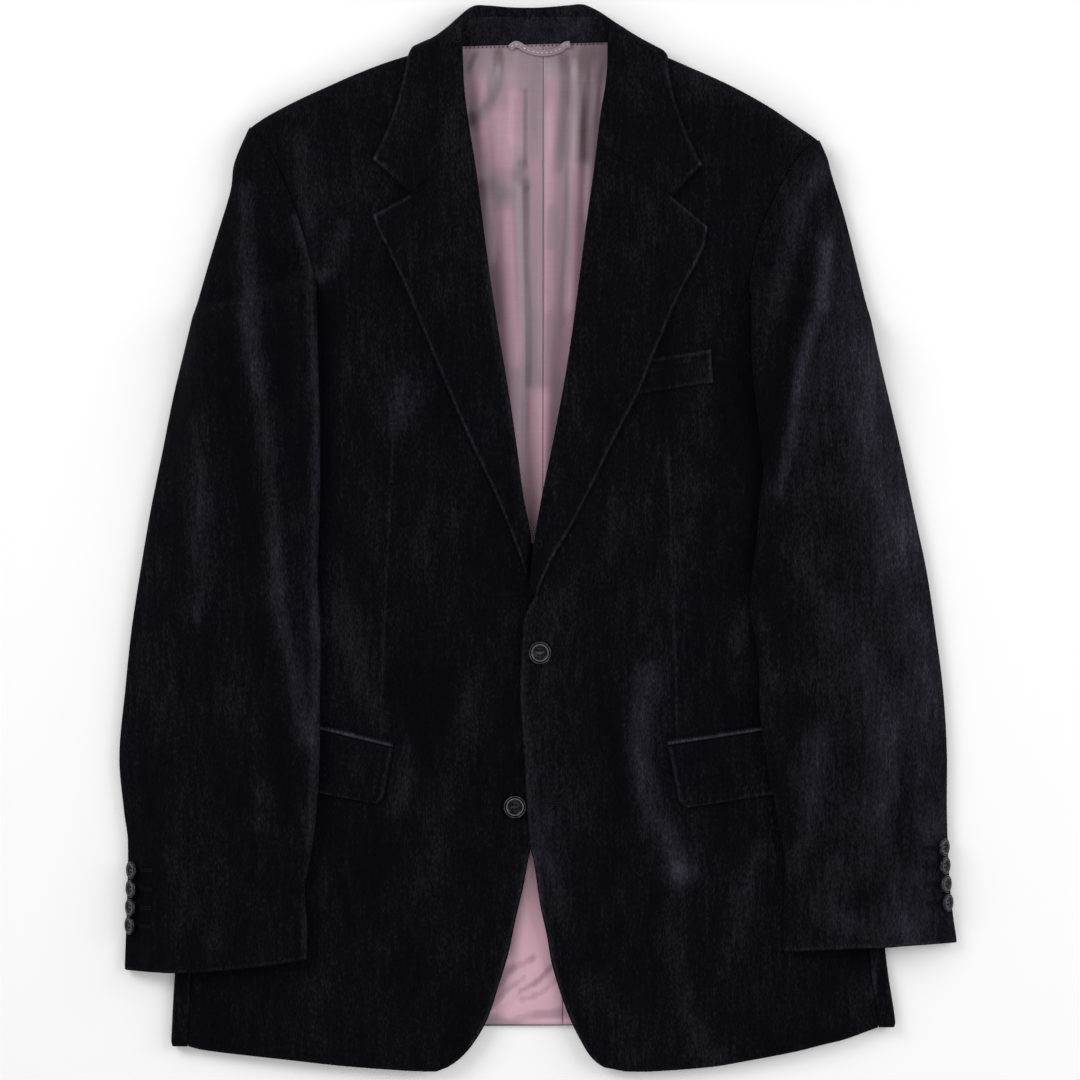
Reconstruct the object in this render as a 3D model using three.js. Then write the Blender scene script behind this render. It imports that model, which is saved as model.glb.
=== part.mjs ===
// A single-breasted sport coat of black velveteen, laid flat on its back and seen from above.
// Millimetres, +Z up, +X to the wearer's left, +Y to the collar. The floor is z = 0.
// "Right" and "left" are the wearer's, so the right side has negative X.
import * as THREE from "three";

// Cloth, as thicknesses of finished, lined pieces
const BODY_CLOTH = 2.0;
const SLEEVE_CLOTH = 2.0;
const LAPEL_CLOTH = 2.2;
const COLLAR_CLOTH = 2.4;
const LINING_CLOTH = 1.2;
const FLAP_CLOTH = 2.0;
const JET_CLOTH = 1.4;
const WELT_CLOTH = 1.8;
const LOOP_CLOTH = 1.0;

// Heights and roundings of the layers
const SEAM_GAP = 0.3;
const SIDE_SEAM_GAP = 0.5;
const FLOOR_SEAM_GAP = 0.8;
const CENTRE_SEAM_X = 4;
const ARMHOLE_BOTTOM_Y = 184;
const SHOULDER_ROUND = 12;
const SHOULDER_SLANT = 0.92;
const SHOULDER_MID = 9.5;
const SIDE_FOLD_HEIGHT = 9.5;
const SIDE_SLOPE = 100;
const SIDE_SEAM_INSET = 14;
const SIDE_PANEL_FLOOR = 45;
const ROLL_RADIUS = 4;
const ROLL_RADIUS_AT_BREAK = 2.7;
const ROLL_TAPER = 50;
const ROLL_START = 0.2;
const FRONT_OVERLAP_LIFT = 4.2;
const SLEEVE_EDGE_ROUND = 5;
const SLEEVE_GAP = 1.4;
const SLEEVE_DROP = 26;
const SLEEVE_HEAD_RISE = 6.6;
const SLEEVE_LEAN = 75;
const COLLAR_UNDER_LIFT = 3.4;
const COLLAR_FOLD_ROUND = 10;
const COLLAR_ROLL_LOW = 13.5;
const COLLAR_CREST = 1.2;
const STAND_TOP_Y = 404;
const NECK_Y = 384;
const NECK_HALF = 56;
const STAND_LOW = 7.2;
const STAND_HIGH = 15;
const LEFT_NECK_SHIFT = 4.5;

// Buttons
const FRONT_BUTTON_DIAMETER = 17.5;
const FRONT_BUTTON_HEIGHT = 3.4;
const CUFF_BUTTON_DIAMETER = 14;
const CUFF_BUTTON_HEIGHT = 2.8;

const velveteen = new THREE.MeshStandardMaterial({ color: 0x121116, roughness: 0.95, metalness: 0 });
const satin = new THREE.MeshStandardMaterial({ color: 0x9b7683, roughness: 0.42, metalness: 0 });
const horn = new THREE.MeshStandardMaterial({ color: 0x141217, roughness: 0.25, metalness: 0 });

const table = (columns, rows) => rows.map((row) => Object.fromEntries(
  columns.map((name, i) => [name, row[i]]),
));
const mix = (a, b, share) => a + (b - a) * share;
const clamp = (value) => Math.min(1, Math.max(0, value));
const soften = (value) => clamp(value) ** 2 * (3 - 2 * clamp(value));
const vec = (x, y, z = 0) => new THREE.Vector3(x, y, z);

// A smooth curve through a table's rows: the value in column `to` for a value in column `from`.
function curve(rows, from, to) {
  const knots = rows.map((row) => [row[from], row[to]]).sort((a, b) => a[0] - b[0]);
  const last = knots.length - 1;
  const slope = (i) => {
    const before = knots[Math.max(i - 1, 0)];
    const after = knots[Math.min(i + 1, last)];
    return (after[1] - before[1]) / (after[0] - before[0]);
  };
  return (at) => {
    if (at <= knots[0][0]) return knots[0][1];
    if (at >= knots[last][0]) return knots[last][1];
    const i = knots.findIndex((knot) => knot[0] > at) - 1;
    const span = knots[i + 1][0] - knots[i][0];
    const t = (at - knots[i][0]) / span;
    const rise = (2 * t ** 3 - 3 * t ** 2 + 1) * knots[i][1] + (3 * t ** 2 - 2 * t ** 3) * knots[i + 1][1];
    return rise + span * ((t ** 3 - 2 * t ** 2 + t) * slope(i) + (t ** 3 - t ** 2) * slope(i + 1));
  };
}

// The outlines of the two sides, each as X (or Y) along the coat.
const right = {
  sign: -1,
  shoulderY: 320,
  top: curve(table(["x", "y"], [[-224, 320], [-209, 330], [-186, 342], [-162, 353], [-139, 363],
    [-115, 372], [-96, 377.5], [-75, 381.5], [-58, 382]]), "x", "y"),
  armhole: curve(table(["y", "x"], [[320, -224], [305, -210], [282, -198], [244.5, -183.5],
    [198.5, -172], [184, -170]]), "y", "x"),
  fold: curve(table(["y", "x"], [[330, -310], [250, -280], [186, -260], [92, -253], [-17, -251],
    [-126, -261], [-243, -274], [-340, -283], [-395, -286]]), "y", "x"),
  roll: curve(table(["y", "x"], [[385, -58.5], [350, -57], [319, -53], [280, -47], [225, -40],
    [170, -32], [116, -23], [69, -16], [30, -11], [-1, -6.6], [-24, -8.8]]), "y", "x"),
  frontEdge: curve(table(["y", "x"], [[-24, -12.5], [-30, -5], [-38, 2], [-60, 11], [-100, 15],
    [-150, 13], [-200, 4], [-240, -5.5], [-272, -11.7], [-297, -17.5], [-323, -23], [-346, -30],
    [-373, -39], [-391, -49], [-403, -59], [-410.5, -69], [-414.6, -79], [-415.4, -88]]), "y", "x"),
  breakY: -24,
  hem: curve(table(["x", "y"], [[-88, -415.4], [-106, -414.6], [-153, -411], [-189, -407],
    [-260, -399], [-276, -395], [-287, -392]]), "x", "y"),
  lapelEdge: curve(table(["y", "x"], [[251, -130], [240, -127], [190, -103], [150, -83], [94, -61],
    [38, -34.5], [-12, -16.5], [-31, -11]]), "y", "x"),
  lapelEnd: { rollY: -22, edgeY: -29 },
  gorge: { startY: 303, end: [-98.5, 266.5] },
  lapelTipY: 250,
  sleeveOuter: curve(table(["y", "x"], [[320, -224], [292, -236], [272, -239], [242, -248],
    [209, -258], [163, -271], [116, -283], [69, -292.5], [22, -302], [-25, -310], [-71, -317],
    [-118, -322], [-170, -326.6], [-212, -323], [-235, -320], [-282, -320.6], [-336, -322.5]]), "y", "x"),
  sleeveInner: curve(table(["y", "x"], [[184, -170], [126, -169], [92, -168], [34, -168], [-32, -170],
    [-64, -168], [-126, -168], [-173, -168.5], [-224, -172], [-251, -176.5], [-270, -180],
    [-298, -178.6], [-326, -178.6]]), "y", "x"),
  cuffInnerY: -326,
  cuffOuterY: -336,
  cuffBow: -4,
};

const left = {
  sign: 1,
  shoulderY: 309.5,
  top: curve(table(["x", "y"], [[219, 309.5], [213, 314], [206, 318.8], [195, 326.4], [177, 338.3],
    [150, 353], [119, 367], [96, 376.5], [75, 381.5], [54, 382]]), "x", "y"),
  armhole: curve(table(["y", "x"], [[309.5, 219], [303, 208.5], [291, 198], [264, 182.5], [241, 172],
    [216.5, 166], [191.5, 164], [184, 164.5]]), "y", "x"),
  fold: curve(table(["y", "x"], [[330, 305], [250, 272], [186, 251], [92, 243], [-17, 242],
    [-126, 253], [-243, 264], [-300, 268.5], [-340, 273], [-372, 278], [-395, 280]]), "y", "x"),
  roll: curve(table(["y", "x"], [[385, 54], [358, 53], [326, 48], [291, 44], [241, 37], [186, 30],
    [131, 22], [77, 12], [38, 4], [10.5, -1], [-3, -3], [-46, -7.4]]), "y", "x"),
  frontEdge: curve(table(["y", "x"], [[-46, -3.7], [-54, -7.5], [-64, -11.5], [-79, -12.8],
    [-95, -13.3], [-126, -14], [-157, -11.7], [-196, -9.4], [-238, -6], [-252, -3], [-284, 1.6],
    [-309, 7], [-330, 10.6], [-358, 19], [-376, 26], [-391, 33.5], [-403, 41], [-410, 49],
    [-413.6, 58], [-414.6, 68]]), "y", "x"),
  breakY: -46,
  hem: curve(table(["x", "y"], [[68, -414.6], [88, -414.6], [135, -411], [159, -407], [201, -399],
    [221, -394], [238, -390], [255, -384], [269, -378.5], [280, -371]]), "x", "y"),
  lapelEdge: curve(table(["y", "x"], [[242, 131.6], [223.5, 128], [184.5, 108], [139, 89], [110, 77],
    [83, 63], [16, 30], [-17, 11], [-40, 0.5]]), "y", "x"),
  lapelEnd: { rollY: -44, edgeY: -41 },
  gorge: { startY: 303, end: [103.5, 264.5] },
  lapelTipY: 241,
  sleeveOuter: curve(table(["y", "x"], [[309.5, 219], [303, 221.8], [295, 225.3], [283, 228.5],
    [254, 238], [215, 248], [163, 260.5], [116, 272], [69, 283], [22, 293], [-25, 303], [-71, 310],
    [-118, 316], [-165, 319], [-212, 319], [-259, 320.6], [-291, 323.5], [-314.6, 327]]), "y", "x"),
  sleeveInner: curve(table(["y", "x"], [[184, 164.5], [137, 165], [75, 172], [51, 174], [34, 172],
    [-1, 169], [-32, 165], [-55, 164], [-78, 168], [-103, 171], [-133, 171], [-171, 176.7],
    [-216, 185], [-251, 191], [-286, 190.3], [-320, 190]]), "y", "x"),
  cuffInnerY: -320,
  cuffOuterY: -314.6,
  cuffBow: 0,
};

// Soft ridges (height above zero) and troughs (below zero) of the fore parts, each along a line.
const FRONT_FOLDS = table(["x1", "y1", "x2", "y2", "height", "width"], [
  [50, -60, 48, -280, -1.6, 12],
  [84, -167, 90, -200, 1.6, 12],
  [90, -200, 117, -241, 1.8, 14],
  [117, -241, 113, -354, 2.0, 15],
  [160, -240, 160, -330, 1.6, 13],
  [230, -330, 222, -385, 1.4, 12],
  [-97, -90, -95, -190, 1.4, 14],
  [-150, -250, -160, -360, 1.4, 16],
  [-70, -260, -84, -380, 1.2, 13],
  [-120, 60, -118, 150, 1.2, 16],
  [125, 40, 118, 100, 1.2, 14],
  [60, -20, 90, 40, 1.2, 13],
  [-50, -40, -80, 20, 1.0, 13],
  [-215, -345, -210, -385, 1.2, 12],
]);

const SLEEVE_FOLDS = table(["x1", "y1", "x2", "y2", "height", "width"], [
  [-229, 280, -229, 217, 2.4, 9],
  [-229, 217, -223, 165, 3.0, 10],
  [-223, 165, -206, 51, 3.2, 11],
  [-206, 51, -184, -142, 2.6, 11],
  [-245, 190, -238, 60, -2.2, 11],
  [-265, 100, -262, -60, 1.6, 13],
  [-290, -40, -296, -180, 1.8, 12],
  [-230, -120, -222, -280, 1.6, 14],
  [220, 295, 196, 243, 2.6, 8],
  [196, 243, 183, 191, 2.4, 8],
  [225, 274, 224, 233, 2.2, 8],
  [224, 233, 204, 112, 3.0, 9],
  [211, 248, 188, 112, -2.0, 7],
  [204, 112, 196, -20, 2.4, 11],
  [240, 120, 256, -60, 1.8, 13],
  [284, -20, 296, -180, 1.8, 12],
  [226, -120, 236, -280, 1.6, 14],
]);

const LINING_FOLDS = table(["x1", "y1", "x2", "y2", "height", "width"], [
  [-27, 378, -19, 20, 3.2, 8],
  [-46, 372, -38, 220, 1.8, 6],
  [14, 378, 4, 10, 3.0, 8],
  [32, 378, 27, 180, 2.4, 6],
  [46, 370, 40, 250, 1.4, 5],
  [-48, -372, 2, -335, 2.2, 6],
  [-20, -372, 34, -340, 2.4, 6],
  [-8, -250, -12, -330, 1.6, 7],
  [30, -373, 60, -362, 1.6, 5],
]);

// The height that a table of folds adds at a place: each one is a soft bell across its line.
function foldHeight(folds, x, y) {
  let total = 0;
  for (const fold of folds) {
    const dx = fold.x2 - fold.x1;
    const dy = fold.y2 - fold.y1;
    const along = clamp(((x - fold.x1) * dx + (y - fold.y1) * dy) / (dx * dx + dy * dy));
    const away = Math.hypot(x - fold.x1 - along * dx, y - fold.y1 - along * dy);
    const height = fold.height * Math.exp(-((away / fold.width) ** 2));
    total = Math.abs(height) > Math.abs(total) ? height : total;
  }
  return total;
}

// The loft of the body over the floor, from the neck to the hem
const crown = curve(table(["y", "height"], [[400, 15.5], [365, 17], [330, 20], [250, 23], [150, 21.5],
  [50, 18.5], [-50, 16.5], [-200, 14.5], [-330, 12.5], [-420, 11.5]]), "y", "height");

const sideOf = (x) => (x < 0 ? right : left);
const topOf = (x) => (Math.abs(x) < NECK_HALF ? NECK_Y : sideOf(x).top(x));
const insideFold = (side, x, y) => side.sign * (side.fold(y) - x);
const belowShoulder = (x, y) => Math.max(0, topOf(x) - y) * SHOULDER_SLANT;

// How far the shoulder's rounding has been left behind: 0 on the shoulder line, 1 past it.
function shoulderRise(x, y) {
  const share = clamp(belowShoulder(x, y) / SHOULDER_ROUND);
  return Math.sqrt(1 - (1 - share) ** 2);
}

// The left front lies on the right one, so it is lifted where they overlap.
const overlapLift = (side, x, y) => (side === left
  ? FRONT_OVERLAP_LIFT * soften((52 - x) / 26) * soften((46 - y) / 36) * soften((y + 330) / 70) : 0);

// The upper face of the fore parts
function frontHeight(side, x, y) {
  const reach = soften(insideFold(side, x, y) / SIDE_SLOPE);
  const loft = mix(SIDE_FOLD_HEIGHT, crown(y), reach) + foldHeight(FRONT_FOLDS, x, y) * reach;
  return mix(SHOULDER_MID, loft, shoulderRise(x, y)) + overlapLift(side, x, y);
}

// The lower face of the back, flat on the floor but for the shoulder's rounding and the collar under it
function backHeight(x, y) {
  const collarUnder = COLLAR_UNDER_LIFT * soften((y - 330) / 30) * soften((120 - Math.abs(x)) / 18);
  const neckCurl = Math.abs(x) < NECK_HALF ? 0 : soften((Math.abs(x) - NECK_HALF) / 8);
  return mix(collarUnder, SHOULDER_MID, neckCurl * (1 - shoulderRise(x, y)));
}

// A closed wall between a sheet of points and the same sheet moved in along its normals.
// `outward` is the way that the sheet faces at its middle. `rims` says where the wall's edge
// lies level or plumb, so that the next piece's edge can face it squarely.
function wall(name, material, rows, thickness, outward, rims = {}) {
  const rowCount = rows.length;
  const columnCount = rows[0].length;
  const count = rowCount * columnCount;
  const normals = rows.map((row, i) => row.map((point, j) => {
    const along = row[Math.min(j + 1, columnCount - 1)].clone().sub(row[Math.max(j - 1, 0)]);
    const across = rows[Math.min(i + 1, rowCount - 1)][j].clone().sub(rows[Math.max(i - 1, 0)][j]);
    return across.cross(along).normalize();
  }));
  const middle = normals[rowCount >> 1][columnCount >> 1];
  const turned = middle.dot(outward) < 0;
  const square = (normal, rim) => {
    if (rim === "level") normal.setZ(0);
    if (rim === "plumb") normal.set(0, 0, normal.z);
    normal.normalize();
  };
  normals.forEach((row, i) => row.forEach((normal, j) => {
    if (turned) normal.negate();
    if (j === 0) square(normal, rims.start);
    if (j === columnCount - 1) square(normal, rims.end);
    if (i === 0) square(normal, rims.top);
    if (i === rowCount - 1) square(normal, rims.bottom);
  }));
  const inner = rows.map((row, i) => row.map((point, j) => (
    point.clone().addScaledVector(normals[i][j], -thickness))));
  const positions = [...rows.flat(), ...inner.flat()].flatMap((point) => point.toArray());
  const faces = [];
  const quad = (a, b, c, d) => {
    if (turned) faces.push(a, b, c, a, c, d);
    else faces.push(a, c, b, a, d, c);
  };
  const at = (i, j) => i * columnCount + j;
  for (let i = 0; i < rowCount - 1; i++) {
    for (let j = 0; j < columnCount - 1; j++) {
      quad(at(i, j), at(i, j + 1), at(i + 1, j + 1), at(i + 1, j));
      quad(count + at(i, j), count + at(i + 1, j), count + at(i + 1, j + 1), count + at(i, j + 1));
    }
    quad(at(i + 1, 0), count + at(i + 1, 0), count + at(i, 0), at(i, 0));
    quad(at(i, columnCount - 1), count + at(i, columnCount - 1), count + at(i + 1, columnCount - 1),
      at(i + 1, columnCount - 1));
  }
  for (let j = 0; j < columnCount - 1; j++) {
    quad(at(0, j), count + at(0, j), count + at(0, j + 1), at(0, j + 1));
    quad(at(rowCount - 1, j + 1), count + at(rowCount - 1, j + 1), count + at(rowCount - 1, j),
      at(rowCount - 1, j));
  }
  return solid(name, material, positions, faces);
}

function solid(name, material, positions, faces) {
  const geometry = new THREE.BufferGeometry();
  geometry.setAttribute("position", new THREE.Float32BufferAttribute(positions, 3));
  geometry.setIndex(faces);
  geometry.computeVertexNormals();
  const mesh = new THREE.Mesh(geometry, material);
  mesh.name = name;
  return mesh;
}

// The height of a panel's own facets over a place, or undefined beside the panel.
function heightOn(rows, x, y) {
  for (let i = 0; i < rows.length - 1; i++) {
    for (let j = 0; j < rows[i].length - 1; j++) {
      for (const [a, b, c] of [[rows[i][j], rows[i + 1][j + 1], rows[i][j + 1]],
        [rows[i][j], rows[i + 1][j], rows[i + 1][j + 1]]]) {
        const area = (b.x - a.x) * (c.y - a.y) - (c.x - a.x) * (b.y - a.y);
        const p = ((x - a.x) * (c.y - a.y) - (c.x - a.x) * (y - a.y)) / area;
        const q = ((b.x - a.x) * (y - a.y) - (x - a.x) * (b.y - a.y)) / area;
        if (p >= -1e-6 && q >= -1e-6 && p + q <= 1 + 1e-6) return a.z + p * (b.z - a.z) + q * (c.z - a.z);
      }
    }
  }
  return undefined;
}

// Rows and columns shared by the armhole's two sides: shares of the way up the armhole seam
const ARMHOLE_SHARES = [1, 0.985, 0.949, 0.868, 0.75, 0.603, 0.441, 0.279, 0.14, 0.059, 0.015, 0];

// The ends of the rows under the armhole, then down the side seam: the row's Y at its inner and outer end
const UNDERARM_ROWS = table(["inner", "outer", "reach"], [
  [174, 178, 0.2], [163, 170, 0.45], [151, 161, 0.72], [138, 152, 1],
]);
const SIDE_ROWS = [116, 82, 48, 16, -8, -24, -46, -66, -94, -126, -158, -190, -222, -252, -284, -314, -342,
  -366, -384, -398, -408, -414.6];

// One row's ends for a panel that runs from an inner edge to the armhole and then the side seam.
// `seam` is the X of the panel's outer edge under the arm at a Y.
function panelRows(side, innerX, seam, hemOf, columns) {
  const ends = [];
  for (const share of ARMHOLE_SHARES) {
    const y = mix(ARMHOLE_BOTTOM_Y, side.shoulderY, share);
    ends.push({ inner: y, outer: y, x: side.armhole(y), top: share });
  }
  for (const row of UNDERARM_ROWS) {
    const x = mix(side.armhole(ARMHOLE_BOTTOM_Y), seam(row.outer), row.reach);
    ends.push({ inner: row.inner, outer: row.outer, x, top: 0 });
  }
  for (const y of SIDE_ROWS) {
    ends.push({ inner: y, outer: y, x: seam(y), top: 0, hem: soften((-y - 250) / 164) });
  }
  return ends.map((end) => {
    const topInner = end.inner + (topOf(innerX(NECK_Y)) - topOf(end.x)) * end.top;
    const start = innerX(topInner);
    const lowered = end.outer + (hemOf(end.x) - hemOf(start)) * (end.hem ?? 0);
    const stop = end.hem === undefined ? end.x : seam(lowered);
    return columns.map((share) => {
      const x = mix(start, stop, share);
      const climb = (topOf(x) - topOf(end.x)) * end.top;
      const drop = (hemOf(x) - hemOf(start)) * (end.hem ?? 0);
      return vec(x, mix(end.inner, end.outer, share) + climb + drop);
    });
  });
}

const evenly = (count) => Array.from({ length: count + 1 }, (_, i) => i / count);

const rollRadius = (side, y) => mix(ROLL_RADIUS_AT_BREAK, ROLL_RADIUS,
  soften((y - side.breakY) / ROLL_TAPER));

// The fore part's inner edge: under the lapel's roll down to the break, then the open front edge
const frontInner = (side) => (y) => (y > side.breakY
  ? side.roll(y) + side.sign * (rollRadius(side, y) + 1) : side.frontEdge(y));

const sideSeam = (side) => (y) => side.fold(y) - side.sign * SIDE_SEAM_INSET;
const backSeam = (side) => (y) => side.fold(y) - side.sign * SIDE_PANEL_FLOOR;

const FRONT_COLUMNS = evenly(10);

function frontSheet(side) {
  const rows = panelRows(side, frontInner(side), sideSeam(side), side.hem, FRONT_COLUMNS);
  rows.forEach((row) => row.forEach((point) => point.setZ(frontHeight(side, point.x, point.y))));
  return rows;
}

right.front = frontSheet(right);
left.front = frontSheet(left);

const BACK_HEM_CENTRE = -380;
const backHem = (side) => (x) => mix(BACK_HEM_CENTRE, side.hem(side.fold(BACK_HEM_CENTRE)) + 1,
  (x / side.fold(BACK_HEM_CENTRE)) ** 2);

function back(side) {
  const centre = () => CENTRE_SEAM_X + side.sign * SEAM_GAP / 2;
  const hem = backHem(side);
  const rows = panelRows(side, centre, backSeam(side), () => 0, evenly(6));
  const sideStart = ARMHOLE_SHARES.length + UNDERARM_ROWS.length;
  const trimmed = rows.filter((row, i) => row[0].y > BACK_HEM_CENTRE + 6 && (i < sideStart || i % 2 === 1));
  const last = trimmed[trimmed.length - 1].map((point) => vec(point.x, hem(point.x)));
  for (const row of [...trimmed, last]) row.forEach((point) => point.setZ(backHeight(point.x, point.y)));
  return wall(`back_${side.name}`, velveteen, [...trimmed, last], BODY_CLOTH, vec(0, 0, -1), {
    top: "level", start: "plumb", end: "plumb",
  });
}

// The panel under the arm: from the fore part's seam over the side fold to the floor
function sidePanel(side) {
  const radius = SIDE_FOLD_HEIGHT / 2;
  const rows = [];
  const underarm = ARMHOLE_SHARES.length + UNDERARM_ROWS.length - 1;
  for (const panelRow of side.front.filter((row, i) => i >= underarm && (i - underarm) % 2 === 0)) {
    const seam = panelRow[panelRow.length - 1];
    const y = seam.y;
    const fold = side.fold(y);
    const inward = (distance) => fold - side.sign * distance;
    const row = [vec(seam.x + side.sign * SIDE_SEAM_GAP, y, seam.z)];
    row.push(vec(inward(9), y, mix(SIDE_FOLD_HEIGHT, row[0].z, 0.4)));
    for (const turn of [90, 45, 0, -45, -90]) {
      const angle = THREE.MathUtils.degToRad(turn);
      row.push(vec(inward(radius * (1 - Math.cos(angle))), y, radius + radius * Math.sin(angle)));
    }
    row.push(vec(inward(20), y, 0), vec(inward(SIDE_PANEL_FLOOR) + side.sign * FLOOR_SEAM_GAP, y, 0));
    rows.push(row);
  }
  return wall(`side_panel_${side.name}`, velveteen, rows, BODY_CLOTH, vec(side.sign, 0, 0), {
    start: "plumb", end: "plumb",
  });
}

// How much the lapel's edge stands off the fore part, more where the chest welt runs under it
const lapelLift = (side, y) => LAPEL_CLOTH + 0.9
  + (side === left ? 2.6 * soften((190 - y) / 36) * soften((y - 66) / 30) : 0);

// The way round a roll, in degrees from its start under the leaf, then shares of the way to the leaf's edge
const ROLL_TURNS = [-90, -45, 0, 45, 90];
const LAPEL_SHARES = [0.2, 0.4, 0.6, 0.8, 1];
const COLLAR_SHARES = [0.15, 0.3, 0.45, 0.6, 0.73, 0.86, 1];
const WRAP_SHARES = [0.09, 0.18, 0.27, 0.37, 0.5, 0.75, 1];
const GORGE_SHARE = 0.6;
const GORGE_GAP = 0.6;

// A row across a turned-back leaf: round the roll, then out to its edge with a kink at the gorge
function leafRow(side, start, end, drop, radius, edgeLift, shares) {
  const base = frontHeight(side, start.x + side.sign * (radius + 1), start.y) - BODY_CLOTH;
  const row = [];
  for (const turn of ROLL_TURNS) {
    const angle = THREE.MathUtils.degToRad(turn);
    const inset = turn === -90 ? radius + ROLL_START : radius * (1 - Math.cos(angle));
    row.push(vec(start.x + side.sign * inset, start.y, base + radius + radius * Math.sin(angle)));
  }
  const shoulder = row[row.length - 1].clone();
  for (const share of shares) {
    const kink = share < GORGE_SHARE ? share / GORGE_SHARE : (1 - share) / (1 - GORGE_SHARE);
    const x = mix(shoulder.x, end[0], share) + drop[0] * kink;
    const y = mix(shoulder.y, end[1], share) + drop[1] * kink;
    const cloth = heightOn(side.front, x, y) ?? frontHeight(side, x, y);
    const lift = mix(2 * radius - BODY_CLOTH, edgeLift(y), soften(share));
    row.push(vec(x, y, cloth + lift));
  }
  return row;
}

// The kink that carries a leaf's straight row to the gorge's end
function gorgeKink(side, start, end) {
  const radius = side.sign * ROLL_RADIUS;
  const target = side.gorge.end;
  return [
    target[0] - mix(start.x + radius, end[0], GORGE_SHARE),
    target[1] - mix(start.y, end[1], GORGE_SHARE),
  ];
}

function lapel(side) {
  const rows = [];
  for (const share of evenly(15)) {
    const rollY = mix(side.gorge.startY - GORGE_GAP, side.lapelEnd.rollY, share);
    const edgeY = mix(side.lapelTipY, side.lapelEnd.edgeY, share);
    const start = vec(side.roll(rollY), rollY);
    const end = [side.lapelEdge(edgeY), edgeY];
    const kink = gorgeKink(side, start, end);
    const fade = Math.max(0, 1 - 2.2 * share) ** 2;
    const drop = share === 0 ? [kink[0], kink[1] - GORGE_GAP] : [0, kinkFade(side, fade)];
    const radius = rollRadius(side, rollY);
    rows.push(leafRow(side, start, end, drop, radius, (y) => lapelLift(side, y), LAPEL_SHARES));
  }
  return wall(`lapel_${side.name}`, velveteen, rows, LAPEL_CLOTH, vec(side.sign * -1, 0, 0.2), {
    top: "plumb", start: "plumb",
  });
}

const kinkFade = (side, fade) => {
  const start = vec(side.roll(side.gorge.startY), side.gorge.startY);
  return gorgeKink(side, start, [side.lapelEdge(side.lapelTipY), side.lapelTipY])[1] * fade;
};

// The collar's plan outline where it folds over the shoulders and the back of the neck
const collarEdge = curve(table(["x", "y"], [[-130, 367], [-115, 372.5], [-104, 377.5], [-97, 382.6],
  [-89.7, 386], [-81, 390], [-70, 398], [-59, 408], [-53, 413], [-45, 414.7], [-24, 413], [-5, 412.4],
  [11, 413.3], [32, 415.2], [40, 414.7], [47, 410], [59, 402], [78, 390], [91, 383], [100, 378.5],
  [113, 372.5], [130, 365]]), "x", "y");
const collarFold = curve(table(["away", "height"], [[0, 16.4], [45, 16.8], [53, 18.5], [60, 21], [80, 21.6],
  [104, 21.4]]), "away", "height");
const FOLD_QUARTER = 15.5;

// A place on the collar's outer face: `reach` runs from the top, through 0 on its plan outline,
// to the floor.
function collarPoint(x, reach) {
  const height = collarFold(Math.abs(x));
  const turn = clamp((1 - reach / FOLD_QUARTER) / 2) * Math.PI;
  const past = Math.max(0, Math.abs(reach) - FOLD_QUARTER);
  const y = collarEdge(x) - COLLAR_FOLD_ROUND * (1 - Math.sin(turn)) - past;
  return vec(x, y, height / 2 * (1 + Math.cos(turn)));
}

const reachOf = (x, y) => FOLD_QUARTER + collarEdge(x) - COLLAR_FOLD_ROUND - y;

// Rows of the collar on the fore parts, from the gorge to the shoulder, then round the neck to the centre.
// `kink` is the share of the gorge's kink, and `reach` is the edge's place past the fold.
const COLLAR_FRONT = {
  right: table(["y", "edgeX", "edgeY", "kink"], [[303, -128, 293, 1], [318, -121, 308, 0.5],
    [333, -114.5, 323, 0.18], [348, -109, 339, 0.04], [362, -105.5, 354, 0], [373, -103, 364, 0]]),
  left: table(["y", "edgeX", "edgeY", "kink"], [[303, 127, 289, 1], [318, 119.5, 305, 0.5],
    [333, 112.5, 321, 0.18], [348, 107, 337, 0.04], [362, 103.5, 352, 0], [373, 101, 363, 0]]),
};
const COLLAR_BACK = table(["away", "y", "edge", "reach", "lying"], [
  [58.3, 384, 101, 9, 1],
  [58.2, 387.5, 99.5, 3, 0.85],
  [58, 391, 98, -3, 0.65],
  [57.6, 394, 96, -9, 0.45],
  [57, 397, 93, -15, 0.28],
  [56, 400, 88, -21, 0.14],
  [54, 403, 79, -31, 0.05],
  [47, 404.4, 66, -41, 0],
  [36, 404.4, 48, -48, 0],
  [24, 404.4, 31, -51, 0],
  [12, 404.4, 15, -52, 0],
]);
const COLLAR_CENTRE = { away: 0, y: 404.4, edge: 0, reach: -52, lying: 0 };

function collarBackRow(side, row) {
  const shift = side === left ? -LEFT_NECK_SHIFT * soften(row.away / 50) : 0;
  const start = vec(side.sign * (row.away + shift), row.y);
  const edgeX = side.sign * row.edge;
  const way = vec(edgeX - start.x, collarPoint(edgeX, Math.max(row.reach, 0)).y - start.y);
  if (row.lying === 0) way.set(0, 1, 0);
  way.normalize();
  const radius = ROLL_RADIUS;
  const points = ROLL_TURNS.map((turn) => {
    const angle = THREE.MathUtils.degToRad(turn);
    const share = (turn + 90) / 180;
    const round = turn === -90 ? radius + ROLL_START : radius * (1 - Math.cos(angle));
    const rolled = COLLAR_ROLL_LOW + radius + radius * Math.sin(angle);
    const flat = STAND_HIGH + COLLAR_CREST * share;
    return start.clone().addScaledVector(way, mix(radius * share, round, row.lying))
      .setZ(mix(flat, rolled, row.lying));
  });
  const from = points[points.length - 1];
  const fromReach = reachOf(from.x, from.y);
  for (const share of WRAP_SHARES) {
    const point = collarPoint(mix(from.x, edgeX, share), mix(fromReach, row.reach, share));
    points.push(point.setZ(mix(from.z, point.z, soften(share / 0.25))));
  }
  return points;
}

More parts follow.
